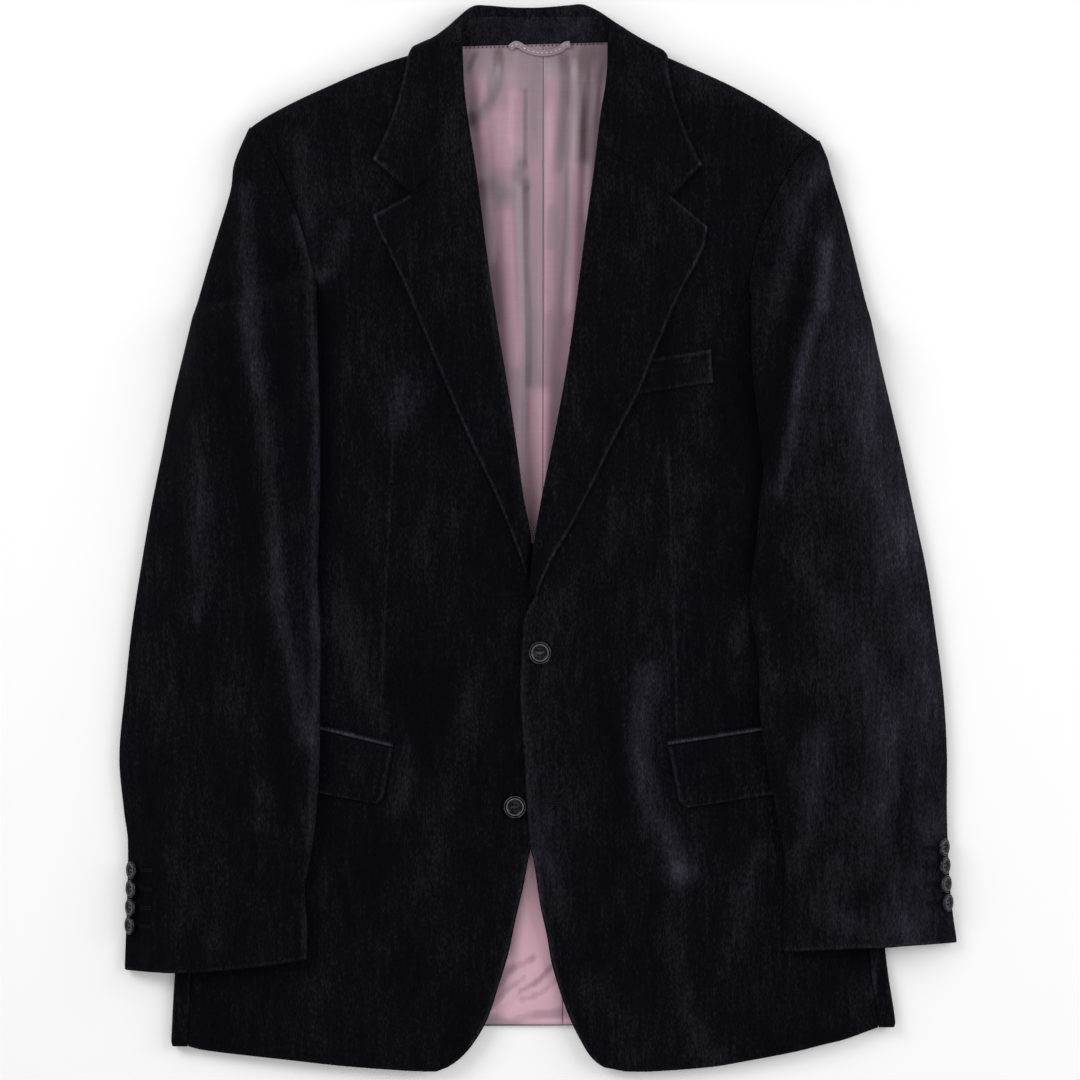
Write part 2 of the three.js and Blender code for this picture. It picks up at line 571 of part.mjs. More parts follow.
function collarFrontRow(side, row) {
  const start = vec(side.roll(row.y), row.y);
  const first = COLLAR_FRONT[side.name][0];
  const gorgeStart = vec(side.roll(side.gorge.startY), side.gorge.startY);
  const drop = gorgeKink(side, gorgeStart, [first.edgeX, first.edgeY]).map((part) => part * row.kink);
  const end = [row.edgeX, row.edgeY];
  return leafRow(side, start, end, drop, rollRadius(side, row.y), () => COLLAR_CLOTH + 1.2, COLLAR_SHARES);
}

function collar() {
  const half = (side) => [...COLLAR_FRONT[side.name].map((row) => collarFrontRow(side, row)),
    ...COLLAR_BACK.map((row) => collarBackRow(side, row))];
  const rows = [...half(right), collarBackRow(right, COLLAR_CENTRE), ...half(left).reverse()];
  return wall("collar", velveteen, rows, COLLAR_CLOTH, vec(0, 1, 0.2), {
    top: "plumb", bottom: "plumb", start: "plumb",
  });
}

// The stand's inner face, from the neck seam up to the collar's seam
const STAND_EDGE = table(["x", "y"], [[-56.5, 398], [-50, 403.5], [-36, 404], [-24, 404], [-12, 404],
  [0, 404],  [12, 404], [24, 404], [36, 404], [46, 403.5], [52, 398]]);
const standHeight = (y) => mix(STAND_LOW, STAND_HIGH, clamp((y - NECK_Y) / (STAND_TOP_Y - NECK_Y)));

function collarStand() {
  const rows = STAND_EDGE.map((edge) => [0, 0.35, 0.7, 1].map((share) => {
    const y = mix(NECK_Y + 0.6, edge.y, share);
    return vec(edge.x, y, standHeight(y));
  }));
  return wall("collar_stand", velveteen, rows, BODY_CLOTH, vec(0, 0, 1), { start: "plumb", end: "plumb" });
}

// The lining on the back, as wide as it shows and a little more
const liningWidth = curve(table(["y", "half"], [[383, 50], [366, 55], [340, 58], [300, 60], [225, 56],
  [100, 44], [0, 34], [-240, 34], [-330, 60], [-375, 84]]), "y", "half");
const LINING_ROWS = [382.8, 370, 350, 325, 295, 260, 215, 165, 110, 50, -40, -150, -240, -290, -322, -345,
  -360, -374];
const liningHeight = (x, y) => backHeight(x, y) + BODY_CLOTH + 0.7 + LINING_CLOTH
  + Math.max(0, foldHeight(LINING_FOLDS, x, y)) * soften((NECK_Y - y) / 24);

function backLining(side) {
  const centre = CENTRE_SEAM_X + side.sign * SEAM_GAP / 2;
  const rows = LINING_ROWS.map((y) => evenly(8).map((share) => {
    const x = mix(centre, side.sign * liningWidth(y), share);
    return vec(x, y, liningHeight(x, y));
  }));
  return wall(`back_lining_${side.name}`, satin, rows, LINING_CLOTH, vec(0, 0, 1), { start: "plumb" });
}

const LOOP_WIDTH = 6;
const LOOP_PATH = table(["x", "y"], [[-22, 381.5], [-18, 384.3], [-14.5, 383.8], [-9, 380.5], [-3, 378.6],
  [4.4, 377.6], [11, 378.4], [17, 380.6], [21, 383.8], [25, 384.5]]);

function hangerLoop() {
  const middle = LOOP_PATH.map((point) => vec(point.x, point.y));
  const rows = middle.map((point, i) => {
    const ahead = middle[Math.min(i + 1, middle.length - 1)];
    const way = ahead.clone().sub(middle[Math.max(i - 1, 0)]).normalize();
    const across = vec(-way.y, way.x).multiplyScalar(LOOP_WIDTH / 2);
    const ends = [point.clone().add(across), point.clone().sub(across)];
    const under = Math.max(...[point, ...ends].map((end) => (end.y > NECK_Y ? standHeight(end.y)
      : liningHeight(end.x, end.y))));
    return ends.map((end) => end.setZ(under + 0.6 + LOOP_CLOTH));
  });
  return wall("hanger_loop", satin, rows, LOOP_CLOTH, vec(0, 0, 1));
}

// The sleeves lie along the sides of the body and over them.
// `near` is the loft of the part that lies on the body, and `far` that of the part on the floor.
const SLEEVE_LOFT = table(["s", "near", "far"], [[0, 14, 22], [0.1, 13, 22], [0.3, 12, 20], [0.6, 11, 17],
  [0.85, 10.5, 14], [1, 10, 13]]);
const sleeveNear = curve(SLEEVE_LOFT, "s", "near");
const sleeveFar = curve(SLEEVE_LOFT, "s", "far");
const SLEEVE_ROWS = [0, 0.015, 0.04, 0.07, 0.105, 0.145, 0.19, 0.24, 0.305, 0.375, 0.445, 0.515, 0.585,
  0.655,
  0.725, 0.795, 0.865, 0.935, 1];
const INNER_EDGE_LAG = 1.35;

// Where the pocket flap lies under the sleeve, the sleeve passes over it.
const pocketRise = (x, y) => 2.9 * soften((262 - Math.abs(x)) / 14) * soften((y + 246) / 24)
  * soften((-102 - y) / 24);

// The height of what a sleeve lies on: the body beside the side fold and under the armhole, else the floor
function support(side, x, y) {
  const away = side.sign * x;
  const armholeX = side.sign * side.armhole(ARMHOLE_BOTTOM_Y);
  const seamX = side.sign * sideSeam(side)(152);
  const lineY = ARMHOLE_BOTTOM_Y + 9 - 32 * clamp((away - armholeX) / (seamX - armholeX));
  const outside = Math.max(-insideFold(side, x, y) / SLEEVE_DROP, (y - lineY) / SLEEVE_DROP);
  if (outside >= 1) return 0;
  const cloth = heightOn(side.front, x, y) ?? frontHeight(side, x, y);
  return (cloth + SLEEVE_GAP + pocketRise(x, y)) * (1 - soften(outside));
}

// A place in plan on a sleeve: s from the armhole to the cuff, u from the inner edge to the outer one
function sleevePlan(side, s, u) {
  const innerY = mix(ARMHOLE_BOTTOM_Y, side.cuffInnerY, s ** INNER_EDGE_LAG);
  const outerY = mix(side.shoulderY, side.cuffOuterY, s);
  const inner = vec(side.sleeveInner(innerY), innerY);
  const outer = vec(side.sleeveOuter(outerY), outerY);
  const point = inner.clone().lerp(outer, u);
  const seamY = mix(ARMHOLE_BOTTOM_Y, side.shoulderY, u);
  const bow = side.armhole(seamY) - mix(side.armhole(ARMHOLE_BOTTOM_Y), side.armhole(side.shoulderY), u);
  point.x += (bow + side.sign * SIDE_SEAM_GAP) * (1 - soften(s / 0.3));
  point.y += side.cuffBow * s ** 3 * 4 * u * (1 - u);
  return { point, width: inner.distanceTo(outer) };
}

function sleevePoint(side, s, u, isTop) {
  const { point, width } = sleevePlan(side, s, u);
  const edge = Math.min(u, 1 - u) * width;
  const round = u > 0.5 ? mix(SHOULDER_MID, SLEEVE_EDGE_ROUND, soften(s / 0.1)) : SLEEVE_EDGE_ROUND;
  const low = support(side, point.x, point.y);
  const curl = 1 - Math.sqrt(1 - (1 - clamp(edge / round)) ** 2);
  if (!isTop) return point.setZ(low + round * curl - (edge === 0 ? SEAM_GAP / 2 : 0));
  const lean = clamp((SIDE_SEAM_INSET + 6 - insideFold(side, point.x, point.y)) / SLEEVE_LEAN);
  const body = frontHeight(side, point.x, Math.min(point.y, ARMHOLE_BOTTOM_Y));
  const cloth = body + SLEEVE_GAP + pocketRise(point.x, point.y);
  const under = point.y > ARMHOLE_BOTTOM_Y ? low : Math.max(low, cloth * (1 - soften(lean)));
  const base = mix(low, under, soften(edge / 25));
  const loft = mix(sleeveNear(s), sleeveFar(s), soften((u - 0.3) / 0.5));
  const arch = (1 - Math.abs(2 * u - 1) ** 3) ** (1 / 2.2);
  const folds = foldHeight(SLEEVE_FOLDS, point.x, point.y) * soften(edge / 14);
  const general = base + round + (loft - round) * arch + folds;
  const seamY = mix(ARMHOLE_BOTTOM_Y, side.shoulderY, u);
  const headRise = SLEEVE_HEAD_RISE * (1 - soften(u / 0.25));
  const front = frontHeight(side, side.armhole(seamY), seamY) + SEAM_GAP + headRise;
  const begin = u > 0.5 ? front : mix(low + round, front, soften(edge / 10));
  return point.setZ(mix(begin, general, soften(s / 0.08)) + (edge === 0 ? SEAM_GAP / 2 : 0));
}

function sleeves(side) {
  const shares = [...ARMHOLE_SHARES].reverse();
  const sheet = (isTop) => SLEEVE_ROWS.map((s) => shares.map((u) => sleevePoint(side, s, u, isTop)));
  side.topSleeve = sheet(true);
  const rims = { start: "level", end: "level", top: "plumb" };
  return [
    wall(`top_sleeve_${side.name}`, velveteen, side.topSleeve, SLEEVE_CLOTH, vec(0, 0, 1), rims),
    wall(`under_sleeve_${side.name}`, velveteen, sheet(false), SLEEVE_CLOTH, vec(0, 0, -1), rims),
  ];
}

// A patch that lies on a fore part: a four-cornered shape whose lower corners are rounded
function patch(name, side, corners, rowShares, columns, cornerRadius, lift, thickness) {
  const [topInner, topOuter, lowOuter, lowInner] = corners.map((corner) => vec(...corner));
  const depth = topInner.distanceTo(lowInner);
  const width = topInner.distanceTo(topOuter);
  const rows = rowShares.map((share) => {
    const past = clamp((share * depth - (depth - cornerRadius)) / Math.max(cornerRadius, 1e-6));
    const inset = cornerRadius * (1 - Math.sqrt(1 - past ** 2)) / width;
    const start = topInner.clone().lerp(lowInner, share);
    const end = topOuter.clone().lerp(lowOuter, share);
    return evenly(columns).map((along) => {
      const point = start.clone().lerp(end, mix(inset, 1 - inset, along));
      const cloth = heightOn(side.front, point.x, point.y) ?? frontHeight(side, point.x, point.y);
      return point.setZ(cloth + lift);
    });
  });
  return wall(name, velveteen, rows, thickness, vec(0, 0, 1));
}

const POCKETS = {
  right: {
    topInner: [-112.5, -163], topOuter: [-238, -133], lowOuter: [-236, -187], lowInner: [-120.5, -206.5],
  },
  left: {
    topInner: [100.5, -161.5], topOuter: [232, -141.5], lowOuter: [230, -192], lowInner: [110.5, -209.5],
  },
};
const JET_HEIGHT = 4.6;
const JET_GAP = 0.6;

function pocket(side) {
  const { topInner, topOuter, lowOuter, lowInner } = POCKETS[side.name];
  const raised = (corner, by) => [corner[0], corner[1] + by];
  const jet = [raised(topInner, JET_GAP + JET_HEIGHT), raised(topOuter, JET_GAP + JET_HEIGHT),
    raised(topOuter, JET_GAP), raised(topInner, JET_GAP)];
  return [
    patch(`pocket_flap_${side.name}`, side, [topInner, topOuter, lowOuter, lowInner],
      [0, 0.3, 0.6, 0.84, 0.92, 0.97, 1], 10, 8, 0.6 + FLAP_CLOTH, FLAP_CLOTH),
    patch(`pocket_jet_${side.name}`, side, jet, [0, 1], 10, 0, 0.5 + JET_CLOTH, JET_CLOTH),
  ];
}

const WELT = [[36, 131.5], [134, 146.6], [136, 120.5], [38, 105.5]];

const BUTTON_SIDES = 14;
const BUTTON_PROFILE = table(["across", "up"], [[0, 0], [0.84, 0], [1, 0.45], [0.94, 1], [0.7, 0.7],
  [0, 0.66]]);

// A sew-through button: a disc with a raised rim round a shallow dish
function button(name, diameter, height) {
  const radius = diameter / 2;
  const points = BUTTON_PROFILE.map((row) => new THREE.Vector2(row.across * radius, row.up * height));
  const mesh = new THREE.Mesh(new THREE.LatheGeometry(points, BUTTON_SIDES), horn);
  mesh.name = name;
  return mesh;
}

// Sets a button on a face: its foot at the point, its axis along the normal.
function seat(mesh, point, normal) {
  mesh.position.copy(point);
  mesh.quaternion.setFromUnitVectors(vec(0, 1, 0), normal.clone().normalize());
  return mesh;
}

const FRONT_BUTTONS = table(["x", "y", "side"], [[1.6, -88.5, left], [-17.9, -208.3, right]]);
const CUFF_BUTTON_ROWS = { right: [-258, -272.5, -287, -301], left: [-240, -254.3, -268.6, -283] };
const CUFF_BUTTON_INSET = 4.2;

function frontButtons() {
  return FRONT_BUTTONS.map((row, i) => {
    const radius = FRONT_BUTTON_DIAMETER / 2;
    const heights = evenly(8).flatMap((turn) => [0.6, 1].map((share) => {
      const angle = turn * 2 * Math.PI;
      const reach = share * radius;
      return heightOn(row.side.front, row.x + reach * Math.cos(angle), row.y + reach * Math.sin(angle));
    })).filter((height) => height !== undefined);
    const mesh = button(`front_button_${i + 1}`, FRONT_BUTTON_DIAMETER, FRONT_BUTTON_HEIGHT);
    return seat(mesh, vec(row.x, row.y, Math.max(...heights) + SEAM_GAP), vec(0, 0, 1));
  });
}

function cuffButtons(side) {
  return CUFF_BUTTON_ROWS[side.name].map((y, i) => {
    const s = (side.shoulderY - y) / (side.shoulderY - side.cuffOuterY);
    const { width } = sleevePlan(side, s, 1);
    const u = 1 - CUFF_BUTTON_INSET / width;
    const point = sleevePoint(side, s, u, true);
    const across = sleevePoint(side, s, u - 2 / width, true).sub(point);
    const along = sleevePoint(side, s + 0.004, u, true).sub(point);
    const normal = along.cross(across);
    if (normal.z < 0) normal.negate();
    normal.normalize();
    const mesh = button(`cuff_button_${side.name}_${i + 1}`, CUFF_BUTTON_DIAMETER, CUFF_BUTTON_HEIGHT);
    return seat(mesh, point.addScaledVector(normal, SEAM_GAP), normal);
  });
}

right.name = "right";
left.name = "left";

const group = new THREE.Group();
group.name = "sport_coat";
for (const side of [right, left]) {
  group.add(wall(`front_${side.name}`, velveteen, side.front, BODY_CLOTH, vec(0, 0, 1), {
    top: "level", end: "plumb", start: "plumb",
  }));
  group.add(back(side), sidePanel(side), lapel(side), backLining(side));
  group.add(...sleeves(side), ...pocket(side), ...cuffButtons(side));
}
group.add(collar(), collarStand(), hangerLoop(), ...frontButtons());
group.add(patch("chest_welt", left, WELT, [0, 0.5, 1], 8, 0, 0.5 + WELT_CLOTH, WELT_CLOTH));

export default group;
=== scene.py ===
import math
from types import SimpleNamespace

import bmesh
import bpy
import numpy as np
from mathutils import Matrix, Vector


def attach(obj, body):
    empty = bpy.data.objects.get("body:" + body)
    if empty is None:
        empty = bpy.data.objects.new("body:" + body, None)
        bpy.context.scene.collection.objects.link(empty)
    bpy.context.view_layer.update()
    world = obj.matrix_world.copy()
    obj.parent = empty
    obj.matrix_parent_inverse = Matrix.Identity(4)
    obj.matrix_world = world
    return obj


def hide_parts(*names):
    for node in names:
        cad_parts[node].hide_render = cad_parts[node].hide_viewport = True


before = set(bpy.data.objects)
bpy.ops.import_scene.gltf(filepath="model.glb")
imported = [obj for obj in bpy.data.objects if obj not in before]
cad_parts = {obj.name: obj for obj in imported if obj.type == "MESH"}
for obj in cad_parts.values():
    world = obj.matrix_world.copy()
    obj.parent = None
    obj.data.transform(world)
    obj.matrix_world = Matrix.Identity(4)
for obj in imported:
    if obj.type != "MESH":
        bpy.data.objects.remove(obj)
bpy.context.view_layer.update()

# A single-breasted sport coat of black velveteen, laid flat on its back.
# The tables are in millimetres, as a cutter writes them, and every mesh is made in metres.
# "Right" and "left" are the wearer's, so the right side has negative X.
MM = 0.001

# Cloth, as thicknesses of finished, lined pieces
BODY_CLOTH = 2.0
SLEEVE_CLOTH = 2.0
LAPEL_CLOTH = 2.2
COLLAR_CLOTH = 2.4
LINING_CLOTH = 1.2
FLAP_CLOTH = 2.0
JET_CLOTH = 1.4
WELT_CLOTH = 1.8
LOOP_CLOTH = 1.0

# Heights and roundings of the layers
SEAM_GAP = 0.3
SIDE_SEAM_GAP = 0.5
FLOOR_SEAM_GAP = 0.8
CENTRE_SEAM_X = 4
ARMHOLE_BOTTOM_Y = 184
SHOULDER_ROUND = 12
SHOULDER_SLANT = 0.92
SHOULDER_MID = 9.5
SIDE_FOLD_HEIGHT = 9.5
SIDE_SLOPE = 100
SIDE_SEAM_INSET = 14
SIDE_PANEL_FLOOR = 45
ROLL_RADIUS = 4
ROLL_RADIUS_AT_BREAK = 2.7
ROLL_TAPER = 50
ROLL_START = 0.2
FRONT_OVERLAP_LIFT = 4.2
SLEEVE_EDGE_ROUND = 5
SLEEVE_GAP = 1.4
SLEEVE_DROP = 26
SLEEVE_HEAD_RISE = 6.6
SLEEVE_LEAN = 75
COLLAR_UNDER_LIFT = 3.4
COLLAR_FOLD_ROUND = 10
COLLAR_ROLL_LOW = 13.5
COLLAR_CREST = 1.2
STAND_TOP_Y = 404
NECK_Y = 384
NECK_HALF = 56
STAND_LOW = 7.2
STAND_HIGH = 15
LEFT_NECK_SHIFT = 4.5

# Size of one cell of the cloth's surfaces, and the rough sizes of the pieces that are divided by it
CELL = 3.4
FINE_CELL = 2.2
SLEEVE_CELL = 2.6
EDGE_CELL = 1.5
FRONT_WIDTH = 280
BACK_WIDTH = 240
LINING_WIDTH = 60
STAND_WIDTH = 20
SLEEVE_LENGTH = 640
SLEEVE_WIDTH = 150
# Distances from an edge that a small piece's extra rows lie at
FINE_RIM = (0.3, 0.7, 1.2)
EDGE_RIM = (0.4, 0.9)

# The painted highlight along a turned edge, where its rounding catches the light: how far in it is, and its
# half width
EDGE_LIGHT_MIDDLE = 1.7
EDGE_LIGHT_WIDTH = 1.2

# Ranges over which a lift or a shift eases in, each as (none of it, all of it)
OVERLAP_X = (52, 26)
OVERLAP_TOP_Y = (46, 10)
OVERLAP_FOOT_Y = (-330, -260)
COLLAR_UNDER_X = (120, 102)
COLLAR_UNDER_Y = (330, 360)
NECK_CURL_X = (NECK_HALF, NECK_HALF + 8)
HEM_DROP_Y = (-250, -414)
WELT_TOP_Y = (190, 154)
WELT_FOOT_Y = (66, 96)
LINING_SLIP_Y = (-120, -240)
POCKET_X = (262, 248)
POCKET_TOP_Y = (-102, -126)
POCKET_FOOT_Y = (-246, -222)

# Buttons
FRONT_BUTTON_DIAMETER = 17.5
FRONT_BUTTON_HEIGHT = 3.4
CUFF_BUTTON_DIAMETER = 14
CUFF_BUTTON_HEIGHT = 2.8


# Small helpers for numbers and curves

def mix(a, b, share):
    return a + (b - a) * share


def soften(value):
    """A soft step: 0 up to 0, 1 from 1 on, and three squares less two cubes between."""
    value = np.clip(value, 0, 1)
    return value * value * (3 - 2 * value)


def ease(place, start, end):
    """A soft step over a place: 0 up to the start and 1 from the end on."""
    return soften((place - start) / (end - start))


def cubic(a, b, slope_a, slope_b, t):
    """The cubic from a to b over t from 0 to 1 that leaves and arrives with the given slopes."""
    return ((2 * t ** 3 - 3 * t ** 2 + 1) * a + (3 * t ** 2 - 2 * t ** 3) * b
            + (t ** 3 - 2 * t ** 2 + t) * slope_a + (t ** 3 - t ** 2) * slope_b)


def curve(pairs):
    """A smooth curve through pairs of (place, value): cubic pieces whose slope at each knot
    is that of the line between the knots beside it."""
    knots = np.array(sorted(pairs), dtype=float)
    at = knots[:, 0]
    value = knots[:, 1]
    before = np.maximum(np.arange(len(at)) - 1, 0)
    after = np.minimum(np.arange(len(at)) + 1, len(at) - 1)
    slope = (value[after] - value[before]) / (at[after] - at[before])

    def read(place):
        place = np.clip(place, at[0], at[-1])
        i = np.clip(np.searchsorted(at, place, side="right") - 1, 0, len(at) - 2)
        span = at[i + 1] - at[i]
        t = (place - at[i]) / span
        return cubic(value[i], value[i + 1], span * slope[i], span * slope[i + 1], t)
    return read


def steps(count):
    return np.linspace(0, 1, count + 1)


def shares_across(width, cell, rim=(0.5, 1.2, 2.2)):
    """Shares from 0 to 1 a cell apart on a piece of that width, with a few more at either rim."""
    even = steps(max(4, round(width / cell)))
    near = np.array(rim) / width
    return np.unique(np.concatenate([even, near, 1 - near]).round(6))


def refine(points, times, axis=0):
    """More points between given ones: each gap gets `times` steps on a cubic that passes through
    the points and takes its slopes from the neighbours on either side."""
    points = np.moveaxis(np.asarray(points, dtype=float), axis, 0)
    last = len(points) - 1
    before = points[np.maximum(np.arange(last + 1) - 1, 0)]
    after = points[np.minimum(np.arange(last + 1) + 1, last)]
    slope = (after - before) / 2
    t = np.arange(times)[None, :] / times
    t = t.reshape((1, times) + (1,) * (points.ndim - 1))
    curved = cubic(points[:-1, None], points[1:, None], slope[:-1, None], slope[1:, None], t)
    fine = np.concatenate([curved.reshape((last * times,) + points.shape[1:]), points[-1:]])
    return np.moveaxis(fine, 0, axis)


def subdivide(stations, cell, least):
    """Rows of numbers with more rows between them, so that no number of the first two columns
    steps by more than a cell, and each gap gets at least so many steps."""
    stations = np.array(stations, dtype=float)
    gaps = np.abs(np.diff(stations[:, :2], axis=0)).max(axis=1)
    counts = np.maximum(least, np.ceil(gaps / cell)).astype(int)
    at = np.concatenate([k + np.arange(n) / n for k, n in enumerate(counts)] + [[len(stations) - 1]])
    return np.stack([np.interp(at, np.arange(len(stations)), column) for column in stations.T], axis=1)


def stack(x, y, z):
    return np.stack(np.broadcast_arrays(x, y, z), axis=-1).astype(float)


# The outlines of the two sides

right = SimpleNamespace(
    name="right",
    sign=-1,
    shoulder_y=320,
    top=curve([(-224, 320), (-209, 330), (-186, 342), (-162, 353), (-139, 363), (-115, 372), (-96, 377.5),
               (-75, 381.5), (-58, 382)]),
    armhole=curve([(320, -224), (305, -210), (282, -198), (244.5, -183.5), (198.5, -172), (184, -170)]),
    fold=curve([(330, -310), (250, -280), (186, -260), (92, -253), (-17, -251), (-126, -261), (-243, -274),
                (-340, -283), (-395, -286)]),
    roll=curve([(385, -58.5), (350, -57), (319, -53), (280, -47), (225, -40), (170, -32), (116, -23),
                (69, -16), (30, -10.8), (-1, -5.2), (-24, -7.6)]),
    front_edge=curve([(-3, -2.4), (-24, -1), (-38, 4), (-60, 11), (-100, 15), (-150, 13), (-200, 4),
                      (-240, -5.5), (-272, -11.7), (-297, -17.5), (-323, -23), (-346, -30), (-373, -39),
                      (-391, -49), (-403, -59), (-410.5, -69), (-414.6, -79), (-415.4, -88)]),
    break_y=-3,
    hem=curve([(-88, -415.4), (-106, -414.6), (-153, -411), (-189, -407), (-260, -399), (-276, -395),
               (-287, -392)]),
    lapel_edge=curve([(251, -128), (240, -124.5), (199, -105), (141, -81), (80, -55), (31, -32),
                      (-12, -15), (-31, -8.5)]),
    lapel_end=(-22, -29),
    gorge_y=303,
    gorge_end=(-98.5, 266.5),
    lapel_tip_y=250,
    sleeve_outer=curve([(320, -224), (292, -236), (272, -239), (242, -248), (209, -258), (163, -271),
                        (116, -283), (69, -292.5), (22, -302), (-25, -310), (-71, -317), (-118, -322),
                        (-170, -326.6), (-212, -323), (-235, -320), (-282, -320.6), (-336, -322.5)]),
    sleeve_inner=curve([(184, -170), (126, -169), (92, -168), (34, -168), (-32, -170), (-64, -168),
                        (-126, -168), (-173, -168.5), (-224, -172), (-251, -176.5), (-270, -180),
                        (-298, -178.6), (-326, -178.6)]),
    cuff_inner_y=-326,
    cuff_outer_y=-336,
    cuff_bow=-4,
    dart=curve([(94, -111), (-17, -117), (-114, -121), (-154, -122)]),
    dart_ends=(94, -158),
)

left = SimpleNamespace(
    name="left",
    sign=1,
    shoulder_y=309.5,
    top=curve([(219, 309.5), (213, 314), (206, 318.8), (195, 326.4), (177, 338.3), (150, 353), (119, 367),
               (96, 376.5), (75, 381.5), (54, 382)]),
    armhole=curve([(309.5, 219), (303, 208.5), (291, 198), (264, 182.5), (241, 172), (216.5, 166),
                   (191.5, 164), (184, 164.5)]),
    fold=curve([(330, 305), (250, 272), (186, 251), (92, 243), (-17, 242), (-126, 253), (-243, 264),
                (-300, 268.5), (-340, 273), (-372, 278), (-395, 280)]),
    roll=curve([(385, 54), (358, 53), (326, 48), (291, 44), (241, 37), (186, 30), (131, 22), (77, 12),
                (38, 4), (10.5, -1), (-3, -3), (-46, -7.4)]),
    front_edge=curve([(-46, -3.7), (-54, -7.5), (-64, -11.5), (-79, -12.8), (-95, -13.3), (-126, -14),
                      (-157, -11.7), (-196, -9.4), (-238, -6), (-252, -3), (-284, 1.6), (-309, 7),
                      (-330, 10.6), (-358, 19), (-376, 26), (-391, 33.5), (-403, 41), (-410, 49),
                      (-413.6, 58), (-414.6, 68)]),
    break_y=-46,
    hem=curve([(68, -414.6), (88, -414.6), (135, -411), (159, -407), (201, -399), (221, -394), (238, -390),
               (255, -384), (269, -378.5), (280, -371)]),
    lapel_edge=curve([(242, 131.6), (223.5, 128), (184.5, 108), (139, 89), (110, 77), (83, 63), (16, 30),
                      (-17, 11), (-40, 0.5)]),
    lapel_end=(-44, -41),
    gorge_y=303,
    gorge_end=(103.5, 264.5),
    lapel_tip_y=241,
    sleeve_outer=curve([(309.5, 219), (303, 221.8), (295, 225.3), (283, 228.5), (254, 238), (215, 248),
                        (163, 260.5), (116, 272), (69, 283), (22, 293), (-25, 303), (-71, 310),
                        (-118, 316), (-165, 319), (-212, 319), (-259, 320.6), (-291, 323.5),
                        (-314.6, 327)]),
    sleeve_inner=curve([(184, 164.5), (137, 165), (75, 172), (51, 174), (34, 172), (-1, 169), (-32, 165),
                        (-55, 164), (-78, 168), (-103, 171), (-133, 171), (-171, 176.7), (-216, 185),
                        (-251, 191), (-286, 190.3), (-320, 190)]),
    cuff_inner_y=-320,
    cuff_outer_y=-314.6,
    cuff_bow=0,
    dart=curve([(88.5, 100), (27, 102.6), (-20, 104), (-75, 106), (-123, 107.6), (-156, 108.4)]),
    dart_ends=(88.5, -158),
)

# Folds, each a line from (x, y) to (x, y) with its height and half width

FRONT_FOLDS = [
    (50, -60, 48, -280, -1.6, 12), (84, -167, 90, -200, 1.6, 12), (90, -200, 117, -241, 1.8, 14),
    (117, -241, 113, -354, 2.0, 15), (160, -240, 160, -330, 1.6, 13), (230, -330, 222, -385, 1.4, 12),
    (-97, -90, -95, -190, 1.4, 14), (-150, -250, -160, -360, 1.4, 16), (-70, -260, -84, -380, 1.2, 13),
    (-120, 60, -118, 150, 1.2, 16), (125, 40, 118, 100, 1.2, 14), (60, -20, 90, 40, 1.2, 13),
    (-50, -40, -80, 20, 1.0, 13), (-215, -345, -210, -385, 1.2, 12),
]

SLEEVE_FOLDS = [
    (-229, 280, -229, 217, 2.4, 9), (-229, 217, -223, 165, 3.0, 10), (-223, 165, -206, 51, 3.2, 11),
    (-206, 51, -184, -142, 2.6, 11), (-245, 190, -238, 60, -2.2, 11), (-265, 100, -262, -60, 1.6, 13),
    (-290, -40, -296, -180, 1.8, 12), (-230, -120, -222, -280, 1.6, 14), (220, 295, 196, 243, 2.6, 8),
    (196, 243, 183, 191, 2.4, 8), (225, 274, 224, 233, 2.2, 8), (224, 233, 204, 112, 3.0, 9),
    (211, 248, 188, 112, -2.0, 7), (204, 112, 196, -20, 2.4, 11), (240, 120, 256, -60, 1.8, 13),
    (284, -20, 296, -180, 1.8, 12), (226, -120, 236, -280, 1.6, 14),
]

LINING_FOLDS = [
    (-27, 378, -19, 20, 3.2, 8), (-46, 372, -38, 220, 1.8, 6), (14, 378, 4, 10, 3.0, 8),
    (32, 378, 27, 180, 2.4, 6), (46, 370, 40, 250, 1.4, 5), (-48, -372, 2, -335, 2.2, 6),
    (-20, -372, 34, -340, 2.4, 6), (-8, -250, -12, -330, 1.6, 7), (30, -373, 60, -362, 1.6, 5),
]

# Small creases that only the cloth's surface shows
FRONT_CREASES = [
    (-160, 300, -150, 180, -0.7, 7), (-186, 250, -176, 120, 0.8, 6), (-140, 200, -150, 60, 0.6, 9),
    (-78, 60, -70, -40, 0.5, 6), (-60, -70, -64, -200, -0.6, 7), (-140, -60, -150, -130, 0.6, 8),
    (-34, -130, -40, -260, 0.6, 7), (-200, -210, -196, -330, -0.6, 8), (-120, -270, -118, -400, 0.5, 7),
    (150, 290, 142, 190, -0.7, 7), (178, 210, 172, 120, 0.8, 6), (140, 60, 150, -60, 0.6, 8),
    (76, -60, 72, -150, 0.6, 7), (22, -150, 30, -300, 0.6, 7), (140, -250, 136, -390, -0.7, 7),
    (196, -240, 192, -380, 0.7, 8), (60, -300, 66, -400, -0.5, 7), (88, -230, 86, -330, -0.6, 7),
]

